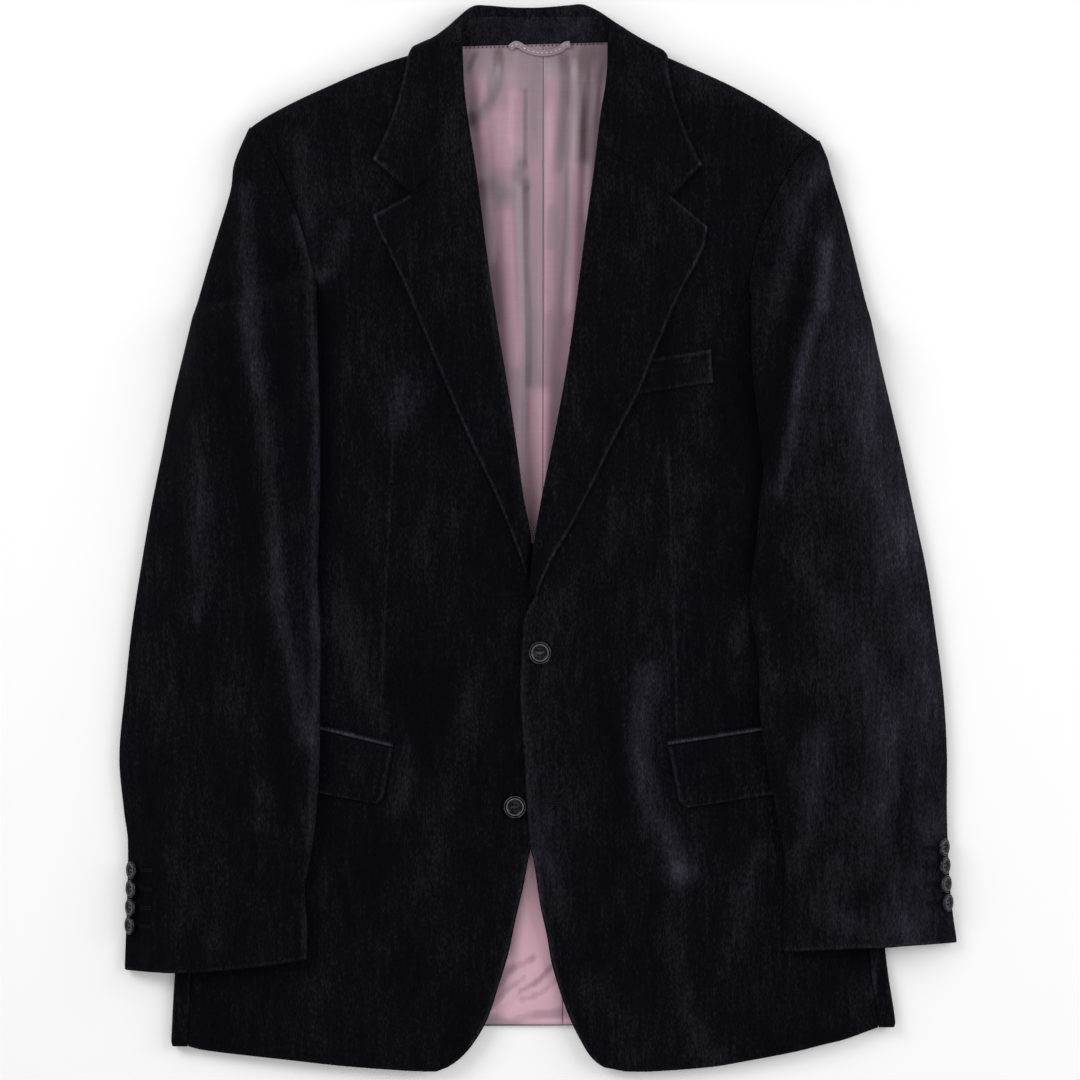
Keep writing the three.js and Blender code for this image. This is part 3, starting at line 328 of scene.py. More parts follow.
SLEEVE_CREASES = [
    (-238, 300, -250, 210, 0.9, 5), (-210, 262, -204, 200, -0.9, 5), (-212, 150, -196, 40, -0.9, 6),
    (-246, 60, -232, -60, 0.8, 7), (-276, 120, -284, -10, 0.7, 7), (-214, -30, -206, -150, 0.7, 6),
    (-252, -90, -256, -210, -0.7, 8), (-300, -150, -296, -290, -0.6, 7), (-196, -180, -200, -310, 0.6, 7),
    (-270, -200, -266, -320, 0.6, 8), (238, 290, 246, 220, 0.8, 5), (206, 262, 194, 210, -0.8, 5),
    (214, 170, 200, 60, 0.9, 6), (246, 200, 256, 80, 0.8, 7), (228, 80, 222, -40, -0.8, 7),
    (268, 70, 278, -60, -0.6, 8), (204, -50, 206, -170, 0.8, 6), (250, -110, 254, -240, -0.7, 8),
    (300, -120, 300, -260, -0.6, 7), (216, -190, 222, -300, 0.6, 7), (276, -190, 280, -300, 0.6, 7),
]

LINING_CREASES = [
    (-9.5, 347, -9.5, 0, -1.6, 2.4), (22.5, 374, 17, 140, 0.8, 3.4), (34, 372, 30, 250, 0.7, 3),
    (-55, 340, -50, 312, -0.9, 3), (-45, 334, -30, 373, -1.0, 3), (-36, 360, -32, 200, 0.8, 3),
    (-18, 330, -14, 120, 0.6, 2.6), (8, 300, 5, 60, 0.5, 2.4), (50, 366, 46, 300, -0.8, 3),
    (-30, -340, 12, -352, 0.8, 3.4), (4, -330, 40, -368, -0.8, 3.6), (-24, -345, -4, -322, 0.7, 3),
    (-40, -366, -6, -356, -0.7, 3),
]


# Painted highlights and painted shade along the folds and edges, where light catches the pile or a
# fold shades it: the amount, the half width and the line's points. More than zero is lighter.
BODY_PAINTED_LIGHT = [
    (0.06, 7, [(-188, 311), (-180, 259), (-175, 243)]), (0.14, 8, [(-152, 238), (-160, 207), (-170, 202)]),
    (-0.08, 7, [(-162, 170), (-165, 113), (-167, 35)]), (0.09, 9, [(-105, 121), (-108, 87)]),
    (0.06, 9, [(-155, -22), (-152, -71), (-131, -125), (-125, -144)]),
    (0.10, 9, [(-101, -163), (-104, -190), (-112, -211)]), (-0.05, 10, [(-74, -106), (-90, -168)]),
    (0.05, 9, [(-50, -106), (-58, -168), (-71, -206)]), (0.04, 10, [(-82, -247), (-74, -301)]),
    (0.03, 12, [(-160, -260), (-168, -350)]), (0.03, 14, [(-191, 339), (-144, 358)]),
    (0.07, 12, [(103, 365), (168, 339), (215, 311)]), (0.07, 9, [(126, 126), (132, 74)]),
    (0.03, 9, [(116, 61), (121, 9)]), (-0.06, 8, [(155, 126), (171, 87), (168, -4)]),
    (0.15, 11, [(86, -106), (81, -133), (78, -168), (86, -206), (105, -241), (113, -260)]),
    (0.09, 11, [(108, -260), (105, -314), (113, -363), (137, -403)]),
    (0.09, 10, [(173, -241), (159, -276), (154, -301), (146, -336)]), (0.05, 10, [(67, -376), (40, -341)]),
    (0.05, 12, [(13, -44), (2, -98), (0, -152), (2, -206), (13, -287)]),
    (-0.05, 11, [(48, -44), (45, -111), (64, -179), (67, -206)]), (0.08, 8, [(159, -52), (154, -82)]),
    (-0.04, 10, [(94, -275), (78, -336)]), (0.10, 4, [(264, -322), (259, -355)]),
    (-0.07, 4, [(269, -325), (267, -352)]), (0.05, 10, [(246, -349), (229, -376)]),
    (0.05, 7, [(-100, 238), (-100, 212)]), (0.10, 3.5, [(-40, 215), (-28, 140), (-16, 60), (-8, 8)]),
    (0.07, 3, [(-4, -52), (-8, -90), (-9, -126), (-7, -160), (-4, -200), (1, -250)]),
    (0.05, 20, [(-70, 330), (-60, 250)]), (0.07, 12, [(-60, 396), (-40, 411), (40, 411), (60, 396)]),
]

# Painted highlights and painted shade on the top sleeves, and a broad painted lighter area on the left
# sleeve where more light falls on it
SLEEVE_PAINTED_LIGHT = [
    (0.10, 75, [(250, 240), (285, 60), (300, -200), (290, -330)]),
    (0.14, 8, [(-227, 270), (-226, 215), (-221, 150), (-213, 95), (-205, 20), (-201, -50), (-190, -98),
               (-180, -155)]),
    (0.09, 8, [(-264, 90), (-261, 5), (-263, -60)]),
    (0.13, 5, [(-187, 248), (-176, 212), (-172, 139), (-171, 60), (-172, -20), (-171, -133), (-175, -233),
               (-180, -322)]),
    (0.05, 9, [(-233, -95), (-237, -135)]), (0.06, 10, [(-279, -228), (-274, -274), (-252, -309)]),
    (0.05, 8, [(-212, -190), (-214, -222), (-190, -233)]),
    (-0.05, 9, [(-204, 217), (-196, 139), (-186, 61)]), (-0.04, 9, [(-238, 191), (-240, 113), (-227, 22)]),
    (-0.05, 9, [(-218, -60), (-205, -130), (-196, -190)]),
    (0.09, 9, [(220, 287), (207, 264), (197, 228), (181, 176)]),
    (-0.09, 8, [(215, 261), (204, 204), (191, 144), (181, 98), (173, 61)]),
    (0.15, 6, [(225, 228), (220, 191), (210, 157), (202, 126), (197, 87), (186, 35)]),
    (0.09, 24, [(251, 139), (264, 61), (277, -4)]),
    (0.05, 14, [(204, 35), (199, -17), (210, -38), (229, -63)]), (0.06, 8, [(181, -106), (175, -71)]),
    (0.07, 12, [(256, -90), (267, -147), (270, -193), (256, -222)]),
    (0.08, 9, [(216, -152), (210, -220), (200, -255)]),
    (0.06, 12, [(224, -255), (221, -287), (256, -303), (297, -301)]),
    (-0.05, 8, [(283, -168), (286, -247)]), (-0.04, 7, [(237, -282), (259, -276)]),
    (-0.06, 7, [(186, -184), (197, -228)]), (0.04, 12, [(300, -60), (306, -150)]),
]

# Where the two-tone satin is painted rose (above zero) or grey (below), mixed with painted shade along its
# folds, creases and edges, and painted light where the lining lies in shadow
LINING_SHOT_AND_PAINTED_LIGHT = [
    (-0.09, 26, [(-50, 386), (50, 382)]), (-0.16, 4.5, [(-31, 378), (-31, 352), (-41, 333), (-53, 326)]),
    (-0.16, 2.5, [(-54, 365), (-49, 377)]), (0.10, 5, [(-47, 357), (-43, 344)]),
    (-0.14, 5, [(-53, 328), (-50, 322)]), (0.12, 14, [(-36, 325), (-28, 300)]),
    (0.10, 6, [(-18, 345), (-17, 310)]), (-0.15, 1.3, [(-10, 350), (-10, 300), (-9, 289)]),
    (-0.15, 4.5, [(-14, 293), (-17, 282), (-9, 276)]), (-0.12, 9, [(-40, 275), (-26, 268)]),
    (-0.15, 3, [(-9.5, 272), (-9, 235), (-8, 200), (-7, 120)]),
    (-0.14, 4, [(-43, 276), (-40, 250), (-37, 230), (-30, 170)]),
    (0.12, 8, [(-27, 250), (-24, 200), (-19, 140)]), (-0.06, 4, [(-2, 373), (-2, 300)]),
    (0.06, 3, [(-3, 290), (-2, 180)]), (0.10, 4.5, [(10, 355), (10, 290), (8, 180)]),
    (-0.14, 4.5, [(20, 374), (21, 350), (18, 318), (16, 289)]), (-0.08, 16, [(34, 372), (34, 305)]),
    (-0.07, 14, [(44, 380), (42, 300)]), (0.22, 9, [(1, 110), (-4, -5)]),
    (0.06, 2.5, [(29, 370), (30, 330), (29, 290)]), (-0.07, 6, [(36, 372), (35, 335), (36, 298)]),
    (0.08, 4, [(49, 352), (46, 335)]), (-0.16, 3, [(48, 304), (45, 286), (42, 262)]),
    (0.12, 5, [(34, 289), (31, 240), (26, 180), (20, 130)]),
    (-0.08, 3.5, [(24, 285), (23, 240), (19, 170)]), (-0.10, 5, [(11, 255), (10, 230)]),
    (0.42, 32, [(-2, -225), (-4, -372)]), (-0.15, 2.6, [(-9, -250), (-13, -285), (-21, -322)]),
    (-0.26, 3.6, [(-30, -348), (-26.5, -339), (-4.5, -327)]),
    (-0.25, 2.8, [(-36, -364), (-24, -352), (-10.5, -342)]),
    (-0.30, 2.5, [(-14.5, -353), (0, -345), (13, -331)]),
    (-0.23, 2.8, [(-12.5, -360), (2, -355), (16, -343)]),
    (-0.24, 4.2, [(-40, -376), (-22, -377), (-8, -372), (24, -369)]),
]


def bands(table, x, y, power=2):
    """The sum of bands: each is a bell of its amount over the distance from its line of points,
    the flatter on top and the steeper beside, the higher its power."""
    total = np.zeros(np.broadcast(x, y).shape)
    for amount, width, line in table:
        away = np.min([along_line((*a, *b), x, y)[1] for a, b in zip(line, line[1:])], axis=0)
        total += amount * np.exp(-(away / width) ** power)
    return total


def tones_over(table, points):
    return bands(table, points[..., 0], points[..., 1])


def along_line(line, x, y):
    """How far along a line each place is, from 0 to 1, and its distance from the line."""
    x1, y1, x2, y2 = line
    dx = x2 - x1
    dy = y2 - y1
    along = np.clip(((x - x1) * dx + (y - y1) * dy) / (dx * dx + dy * dy), 0, 1)
    return along, np.hypot(x - x1 - along * dx, y - y1 - along * dy)


def fold_height(folds, x, y):
    """The strongest fold at each place: a bell of the fold's height over the distance from its line."""
    total = np.zeros(np.broadcast(x, y).shape)
    for *line, height, width in folds:
        bell = height * np.exp(-(along_line(line, x, y)[1] / width) ** 2)
        total = np.where(np.abs(bell) > np.abs(total), bell, total)
    return total


# A crease's waver: its share of the width and its turn along the crease, and how early the crease
# is highest
CREASE_WAVER = 0.3
WAVER_TURN = 9
SWELL_POWER = 0.75


def crease_height(creases, x, y):
    """The sum of uneven creases: each is a bell across its line, highest two fifths of the way
    along, fading out towards both ends, with a slow waver in its width."""
    total = np.zeros(np.broadcast(x, y).shape)
    for number, (*line, height, width) in enumerate(creases):
        along, away = along_line(line, x, y)
        wavering = width * (1 + CREASE_WAVER * np.sin(WAVER_TURN * along + number))
        swell = np.sin(np.pi * np.clip(along, 0.02, 0.98) ** SWELL_POWER)
        total += height * swell * np.exp(-(away / wavering) ** 2)
    return total


# The heights of the body's layers over the floor

crown = curve([(400, 15.5), (365, 17), (330, 20), (250, 23), (150, 21.5), (50, 18.5), (-50, 16.5),
               (-200, 14.5), (-330, 12.5), (-420, 11.5)])


def top_of(x):
    """The Y of the shoulder line over a place, or of the neck seam inside the neck."""
    beside = np.where(x < 0, right.top(x), left.top(x))
    return np.where(np.abs(x) < NECK_HALF, NECK_Y, beside)


def inside_fold(side, x, y):
    return side.sign * (side.fold(y) - x)


def shoulder_rise(x, y):
    """0 on the shoulder line, rising as a quarter circle to 1 past the shoulder's rounding."""
    share = np.clip(np.maximum(0, top_of(x) - y) * SHOULDER_SLANT / SHOULDER_ROUND, 0, 1)
    return np.sqrt(1 - (1 - share) ** 2)


def overlap_lift(side, x, y):
    """The left front lies on the right one, so it is lifted softly where they overlap."""
    if side is right:
        return 0
    return FRONT_OVERLAP_LIFT * ease(x, *OVERLAP_X) * ease(y, *OVERLAP_TOP_Y) * ease(y, *OVERLAP_FOOT_Y)


def front_height(side, x, y):
    """The fore part's upper face: the loft mixed from the side fold's height to the crown of that
    row, plus folds, mixed again from the shoulder line's height, plus the overlap."""
    reach = soften(inside_fold(side, x, y) / SIDE_SLOPE)
    loft = mix(SIDE_FOLD_HEIGHT, crown(y), reach) + fold_height(FRONT_FOLDS, x, y) * reach
    return mix(SHOULDER_MID, loft, shoulder_rise(x, y)) + overlap_lift(side, x, y)


def back_height(x, y):
    """The back's lower face: zero but for the shoulder's rounding and the collar under the neck."""
    collar_under = COLLAR_UNDER_LIFT * ease(y, *COLLAR_UNDER_Y) * ease(np.abs(x), *COLLAR_UNDER_X)
    neck_curl = ease(np.abs(x), *NECK_CURL_X)
    return mix(collar_under, SHOULDER_MID, neck_curl * (1 - shoulder_rise(x, y)))


# Meshes

def make_piece(name, points, faces, material, tone=None):
    """A smooth mesh from points in millimetres and faces, with a tone at each point."""
    mesh = bpy.data.meshes.new(name)
    mesh.from_pydata((points * MM).tolist(), [], faces.tolist())
    mesh.polygons.foreach_set("use_smooth", np.ones(len(mesh.polygons), dtype=bool))
    if tone is not None:
        layer = mesh.attributes.new("tone", "FLOAT", "POINT")
        layer.data.foreach_set("value", tone.astype(np.float32))
    mesh.materials.append(material)
    piece = bpy.data.objects.new(name, mesh)
    bpy.context.scene.collection.objects.link(piece)
    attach(piece, "root")
    return piece


def grid_faces(rows, columns, close_columns=False):
    """The four-cornered faces of a grid of points, as indices, row by row."""
    across = columns if close_columns else columns - 1
    i, j = np.meshgrid(np.arange(rows - 1), np.arange(across), indexing="ij")
    ahead = (j + 1) % columns
    corners = [i * columns + j, i * columns + ahead, (i + 1) * columns + ahead, (i + 1) * columns + j]
    return np.stack([corner.ravel() for corner in corners], axis=1)


def face_normals(points):
    """Unit normals of a grid: the cross product of the steps between each point's neighbours."""
    rows, columns = points.shape[:2]
    i = np.arange(rows)
    j = np.arange(columns)
    along = points[:, np.minimum(j + 1, columns - 1)] - points[:, np.maximum(j - 1, 0)]
    across = points[np.minimum(i + 1, rows - 1)] - points[np.maximum(i - 1, 0)]
    normal = np.cross(across, along)
    return normal / np.maximum(np.linalg.norm(normal, axis=2, keepdims=True), 1e-9)


def edge_distances(points):
    """The distance along the sheet from each point to its four edges: start, end, top and bottom."""
    across = np.linalg.norm(np.diff(points, axis=1), axis=2)
    down = np.linalg.norm(np.diff(points, axis=0), axis=2)
    start = np.pad(np.cumsum(across, axis=1), ((0, 0), (1, 0)))
    top = np.pad(np.cumsum(down, axis=0), ((1, 0), (0, 0)))
    return {"start": start, "end": start[:, -1:] - start, "top": top, "bottom": top[-1:] - top}


# The rounding of an edge that isn't given one: how far in it reaches and how deep it goes
PLAIN_ROLL = (1.6, 0.7)


def cloth(name, points, thickness, outward, material, rims=None, rolls=None, tone=0.0, worn=None):
    """A thin closed shell: the given sheet, and the same sheet moved in along its normals.
    `rims` says where the edge lies level or plumb, as a turned edge does. `rolls` gives each
    edge's rounding as (distance, depth): the sheet sinks by a quarter circle towards the edge.
    `tone` is how light its pile or satin is, painted light and shade included, and its last argument how
    much lighter each edge is painted, a painted highlight along the turned edge (below zero, painted
    shade), as a bell over the distance from it."""
    rows, columns = points.shape[:2]
    normal = face_normals(points)
    turned = normal[rows // 2, columns // 2] @ np.array(outward, dtype=float) < 0
    if turned:
        normal = -normal
    edges = {"start": np.s_[:, 0], "end": np.s_[:, -1], "top": np.s_[0], "bottom": np.s_[-1]}
    for edge, way in (rims or {}).items():
        band = normal[edges[edge]]
        band[..., [2] if way == "level" else [0, 1]] = 0
        band /= np.maximum(np.linalg.norm(band, axis=1, keepdims=True), 1e-9)
    inner = points - normal * thickness
    sink = np.zeros((rows, columns))
    for edge, distance in edge_distances(points).items():
        reach, depth = (rolls or {}).get(edge, PLAIN_ROLL)
        near = np.clip(1 - distance / reach, 0, 1)
        sink = np.maximum(sink, depth * (1 - np.sqrt(1 - near ** 2)))
    outer = points - normal * sink[..., None]
    tone = np.broadcast_to(tone, (rows, columns)).copy()
    # A painted highlight along each edge, or painted shade where the amount is below zero
    for edge, amount in (worn or {}).items():
        tone += amount * np.exp(-((edge_distances(points)[edge] - EDGE_LIGHT_MIDDLE) / EDGE_LIGHT_WIDTH) ** 2)
    count = rows * columns
    face = grid_faces(rows, columns)
    ring = np.concatenate([
        np.arange(columns - 1),
        np.arange(rows - 1) * columns + columns - 1,
        count - 1 - np.arange(columns - 1),
        (rows - 1 - np.arange(rows - 1)) * columns,
    ])
    ahead = np.roll(ring, -1)
    rim = np.stack([ahead, ring, ring + count, ahead + count], axis=1)
    faces = np.concatenate([face, face[:, ::-1] + count, rim])
    if not turned:
        faces = faces[:, ::-1]
    everything = np.concatenate([outer.reshape(-1, 3), inner.reshape(-1, 3)])
    return make_piece(name, everything, faces, material, np.concatenate([tone.ravel(), tone.ravel()]))


def worn_cloth(node, points, thickness, outward, material, **details):
    """A cloth piece that replaces the solid of its name."""
    piece = cloth(node + "_cloth", points, thickness, outward, material, **details)
    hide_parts(node)
    return piece


def laid_cloth(node, points, thickness, outward, material, rests_on=(), with_pieces=(), **details):
    """A cloth piece that replaces the solid of its name."""
    piece = worn_cloth(node, points, thickness, outward, material, **details)


def tube(path, radius, up, sides=8, closed=False):
    """Points and faces of a round thread: at each point of the path a circle, spanned by the
    given upward way and by the cross product of that and the path's own way. An open one
    narrows to a point at both ends."""
    path = np.asarray(path, dtype=float)
    way = np.roll(path, -1, axis=0) - np.roll(path, 1, axis=0) if closed else np.gradient(path, axis=0)
    beside = np.cross(way, up)
    beside /= np.linalg.norm(beside, axis=1, keepdims=True)
    turn = np.linspace(0, 2 * np.pi, sides, endpoint=False)
    reach = np.full(len(path), float(radius))
    if not closed:
        reach[[0, -1]] = 0
        reach[[1, -2]] *= 0.8
    ring = (np.cos(turn)[None, :, None] * beside[:, None, :]
            + np.sin(turn)[None, :, None] * np.asarray(up, dtype=float)[None, None, :])
    points = path[:, None, :] + reach[:, None, None] * ring
    if closed:
        points = np.concatenate([points, points[:1]])
    return points.reshape(-1, 3), grid_faces(len(points), sides, close_columns=True)


def joined(parts):
    """Several lots of points and faces as one, each lot's faces counted on from the last."""
    counts = np.cumsum([0] + [len(points) for points, _ in parts[:-1]])
    faces = np.concatenate([faces + count for (_, faces), count in zip(parts, counts)])
    return np.concatenate([points for points, _ in parts]), faces


def close_and_face_out(piece):
    """Merges the points that meet at poles and seams, and turns every face outwards."""
    shape = bmesh.new()
    shape.from_mesh(piece.data)
    bmesh.ops.remove_doubles(shape, verts=shape.verts, dist=0.01 * MM)
    bmesh.ops.recalc_face_normals(shape, faces=shape.faces)
    shape.to_mesh(piece.data)
    shape.free()


# Materials

def colour(hex_value):
    """A linear colour from an sRGB hex value: each part over 255, then the sRGB curve undone."""
    parts = np.array([(hex_value >> shift) & 255 for shift in (16, 8, 0)]) / 255
    linear = np.where(parts <= 0.04045, parts / 12.92, ((parts + 0.055) / 1.055) ** 2.4)
    return (*linear.tolist(), 1.0)


def add_node(tree, kind, settings=None, links=None):
    """Adds a node with its settings, which are properties or values of inputs, and its links."""
    node = tree.nodes.new(kind)
    for name, value in (settings or {}).items():
        if isinstance(name, str) and hasattr(node, name):
            setattr(node, name, value)
        else:
            node.inputs[name].default_value = value
    for name, source in (links or {}).items():
        tree.links.new(source, node.inputs[name])
    return node


def new_material(name):
    material = bpy.data.materials.new(name)
    material.use_nodes = True
    tree = material.node_tree
    tree.nodes.clear()
    return material, tree


def finish_material(tree, shader, links):
    for name, source in links.items():
        tree.links.new(source, shader.inputs[name])
    add_node(tree, "ShaderNodeOutputMaterial", links={"Surface": shader.outputs[0]})


def per_metre(width, length):
    """Cycles of a pattern in one metre along X, Y and Z, for marks of that size in millimetres."""
    return (1000 / width, 1000 / length, 1000 / width)


def fill_ramp(ramp, stops):
    """Sets a colour ramp's stops, each a position and an sRGB hex value, the outer two first."""
    elements = ramp.color_ramp.elements
    for element, (position, hex_value) in zip(elements, (stops[0], stops[-1])):
        element.position = position
        element.color = colour(hex_value)
    for position, hex_value in stops[1:-1]:
        elements.new(position).color = colour(hex_value)


def mottled(tree, place, layers):
    """The piece's tone, which holds its painted light and shade as well as its own tone, with layers of
    noise added, each with cycles per metre, settings and a weight. Gives the sum and each layer's noise."""
    total = add_node(tree, "ShaderNodeAttribute", {"attribute_name": "tone"}).outputs["Fac"]
    noises = []
    for cycles, settings, weight in layers:
        stretched = add_node(tree, "ShaderNodeMapping", {"Scale": cycles}, {"Vector": place})
        noise = add_node(tree, "ShaderNodeTexNoise", {"Scale": 1.0, **settings},
                         {"Vector": stretched.outputs[0]}).outputs[0]
        total = add_node(tree, "ShaderNodeMath", {"operation": "MULTIPLY_ADD", 1: weight},
                         {0: noise, 2: total}).outputs[0]
        noises.append(noise)
    return total, noises


# Cotton velveteen: a cut weft pile, dyed near black. The pile swallows light when it is looked
# into and shows random dusty blooms and soft vertical flecks; the lighter bands where light catches
# its folds and edges, and the shade beside them, are painted into its tone.
# The pile's tufts are about 0.8 mm wide; they are drawn 1.1 mm wide so that they show.
def make_velveteen():
    material, tree = new_material("cotton_velveteen")
    place = add_node(tree, "ShaderNodeTexCoord").outputs["Object"]
    shade, (tufts, marks, _) = mottled(tree, place, [
        (per_metre(1.1, 3.2), {"Detail": 3.0, "Roughness": 0.65}, 0.50),
        (per_metre(3.4, 24), {"Detail": 4.0, "Roughness": 0.6}, 0.26),
        (per_metre(34, 75), {"Detail": 2.0, "Roughness": 0.5}, 0.24),
    ])
    ramp = add_node(tree, "ShaderNodeValToRGB", links={0: shade})
    fill_ramp(ramp, [(0.36, 0x020204), (0.5, 0x050509), (0.58, 0x0f0f15), (0.68, 0x1e1d25),
                     (0.82, 0x37353f), (1.0, 0x595764)])
    height = add_node(tree, "ShaderNodeMath", {"operation": "MULTIPLY_ADD", 1: 1.6},
                      {0: marks, 2: tufts})
    bump = add_node(tree, "ShaderNodeBump", {"Strength": 0.55, "Distance": 0.9 * MM},
                    {"Height": height.outputs[0]})
    shader = add_node(tree, "ShaderNodeBsdfPrincipled", {
        "Roughness": 0.92,
        "IOR": 1.5,
        "Specular IOR Level": 0.06,
        "Sheen Weight": 0.045,
        "Sheen Roughness": 0.35,
        "Sheen Tint": colour(0xa9a8ba),
    })
    finish_material(tree, shader, {"Base Color": ramp.outputs[0], "Normal": bump.outputs[0]})
    return material


# Shot satin lining: fine polyester, woven rose one way and grey the other, with a soft gloss; its
# colour shifts, with painted light on its crests and painted shade in its creases and at its edges, are
# painted into its tone.
# The twill's threads are about 0.3 mm apart; they are drawn 1.1 mm apart so that they show.
def make_satin():
    material, tree = new_material("shot_polyester_satin")
    place = add_node(tree, "ShaderNodeTexCoord").outputs["Object"]
    shade, _ = mottled(tree, place, [
        (per_metre(12, 60), {"Detail": 3.0, "Roughness": 0.5}, 0.4),
        (per_metre(26, 1.1), {"Detail": 2.0}, 0.1),
    ])
    ramp = add_node(tree, "ShaderNodeValToRGB", links={0: shade})
    fill_ramp(ramp, [(0.0, 0x66545b), (0.2, 0x84717a), (0.34, 0x947e87), (0.46, 0xa28090),
                     (0.58, 0xb08c9a), (0.8, 0xcda3b1)])
    slanted = {"Scale": per_metre(1.1, 1.1), "Rotation": (0, 0, math.radians(28))}
    twill_at = add_node(tree, "ShaderNodeMapping", slanted, {"Vector": place})
    twill = add_node(tree, "ShaderNodeTexWave", {"Scale": 1 / (2 * math.pi), "Distortion": 0.6},
                     {"Vector": twill_at.outputs[0]})
    bump = add_node(tree, "ShaderNodeBump", {"Strength": 0.12, "Distance": 0.25 * MM},
                    {"Height": twill.outputs[0]})
    shader = add_node(tree, "ShaderNodeBsdfPrincipled", {
        "Roughness": 0.4,
        "IOR": 1.55,
        "Specular IOR Level": 0.45,
        "Sheen Weight": 0.1,
        "Sheen Roughness": 0.3,
    })
    finish_material(tree, shader, {"Base Color": ramp.outputs[0], "Normal": bump.outputs[0]})
    return material


# Polyester button resin: cast in rods, turned and tumbled, near black with smoky swirls and a soft gloss;
# its light rings round a darker dish are painted highlights and painted shade, carried in its tone.
def make_resin():
    material, tree = new_material("button_resin")
    place = add_node(tree, "ShaderNodeTexCoord").outputs["Object"]
    shade, _ = mottled(tree, place, [(per_metre(5, 5), {"Detail": 4.0, "Distortion": 1.4}, 0.4)])
    ramp = add_node(tree, "ShaderNodeValToRGB", links={0: shade})
    fill_ramp(ramp, [(0.15, 0x040405), (0.95, 0x8a8894), (1.0, 0xffffff)])
    scuffs = add_node(tree, "ShaderNodeTexNoise", {"Scale": 1000 / 0.9, "Detail": 3.0}, {"Vector": place})
    rough = add_node(tree, "ShaderNodeMapRange", {"To Min": 0.1, "To Max": 0.26},
                     {"Value": scuffs.outputs[0]})
    bump = add_node(tree, "ShaderNodeBump", {"Strength": 0.08, "Distance": 0.05 * MM},
                    {"Height": scuffs.outputs[0]})
    shader = add_node(tree, "ShaderNodeBsdfPrincipled", {
        "IOR": 1.55, "Specular IOR Level": 0.14, "Coat Weight": 0.02, "Coat Roughness": 0.06,
    })
    finish_material(tree, shader, {
        "Base Color": ramp.outputs[0], "Roughness": rough.outputs[0], "Normal": bump.outputs[0],
    })
    return material


# Mercerised cotton thread: two plies twisted, which shows as a fine slanting rope.
def make_thread(name, dark, light):
    material, tree = new_material(name)
    place = add_node(tree, "ShaderNodeTexCoord").outputs["Object"]
    slanted = {"Scale": 1000 / 0.6 / (2 * math.pi), "bands_direction": "DIAGONAL", "Distortion": 1.0}
    plies = add_node(tree, "ShaderNodeTexWave", slanted, {"Vector": place})
    ramp = add_node(tree, "ShaderNodeValToRGB", links={0: plies.outputs[0]})
    fill_ramp(ramp, [(0.0, dark), (1.0, light)])
    bump = add_node(tree, "ShaderNodeBump", {"Strength": 0.5, "Distance": 0.12 * MM},
                    {"Height": plies.outputs[0]})
    shader = add_node(tree, "ShaderNodeBsdfPrincipled", {"Roughness": 0.85, "Specular IOR Level": 0.14})
    finish_material(tree, shader, {"Base Color": ramp.outputs[0], "Normal": bump.outputs[0]})
    return material


velveteen = make_velveteen()
satin = make_satin()
resin = make_resin()
black_thread = make_thread("black_cotton_thread", 0x030306, 0x0f0f15)
white_thread = make_thread("white_cotton_thread", 0xb6aeb0, 0xe6e0de)


# The fore parts

ARMHOLE_SHARES = [1, 0.985, 0.949, 0.868, 0.75, 0.603, 0.441, 0.279, 0.14, 0.059, 0.015, 0]
UNDERARM_ROWS = [(174, 178, 0.2), (163, 170, 0.45), (151, 161, 0.72), (138, 152, 1)]
SIDE_ROWS = [116, 82, 48, 16, -8, -24, -46, -66, -94, -126, -158, -190, -222, -252, -284, -314, -342, -366,
             -384, -398, -408, -414.6]


def panel_stations(side):
    """The Y of each row's inner end and of its outer end, and how far the outer end has gone to the
    side seam."""
    armhole = [mix(ARMHOLE_BOTTOM_Y, side.shoulder_y, share) for share in ARMHOLE_SHARES]
    return [(y, y, 0) for y in armhole] + UNDERARM_ROWS + [(y, y, 1) for y in SIDE_ROWS]


def roll_radius(side, y):
    return mix(ROLL_RADIUS_AT_BREAK, ROLL_RADIUS, soften((y - side.break_y) / ROLL_TAPER))


def front_inner(side, y):
    """The fore part's inner edge: under the lapel's roll to the break, then the open front edge."""
    under_roll = side.roll(y) + side.sign * (roll_radius(side, y) + 1)
    return np.where(y > side.break_y, under_roll, side.front_edge(y))


def side_seam(side, y):
    return side.fold(y) - side.sign * SIDE_SEAM_INSET


def back_seam(side, y):
    return side.fold(y) - side.sign * SIDE_PANEL_FLOOR


# The shares of a row between which its middle column may move to the dart
PIN_LIMITS = (0.15, 0.85)


def panel_grid(side, inner_x, seam, hem_of, shares, pin=None):
    """X and Y over a panel between an inner edge and the armhole, then the side seam. Each row is
    mixed between its ends, lifted along the shoulder line near the top and dropped along the hem
    near the foot. With a pin, the middle column follows the dart's line."""
    inner, outer, reach = subdivide(panel_stations(side), CELL, 2).T[:, :, None]
    top = np.clip((outer - ARMHOLE_BOTTOM_Y) / (side.shoulder_y - ARMHOLE_BOTTOM_Y), 0, 1)
    hem = ease(inner, *HEM_DROP_Y)
    stop = mix(side.armhole(np.maximum(outer, ARMHOLE_BOTTOM_Y)), seam(side, outer), reach)
    neck_top = top_of(inner_x(side, np.array(NECK_Y)))
    start = inner_x(side, inner + (neck_top - top_of(stop)) * top)
    lowered = outer + (hem_of(stop) - hem_of(start)) * hem
    stop = np.where(reach < 1, stop, seam(side, lowered))
    if pin is not None:
        at = np.clip((pin(inner) - start) / (stop - start), *PIN_LIMITS)
        shares = np.where(shares < 0.5, shares * 2 * at, 1 - (1 - shares) * 2 * (1 - at))
    x = mix(start, stop, shares)
    climb = (top_of(x) - top_of(stop)) * top
    drop = (hem_of(x) - hem_of(start)) * hem
    return x, mix(inner, outer, shares) + climb + drop, reach[:, 0]


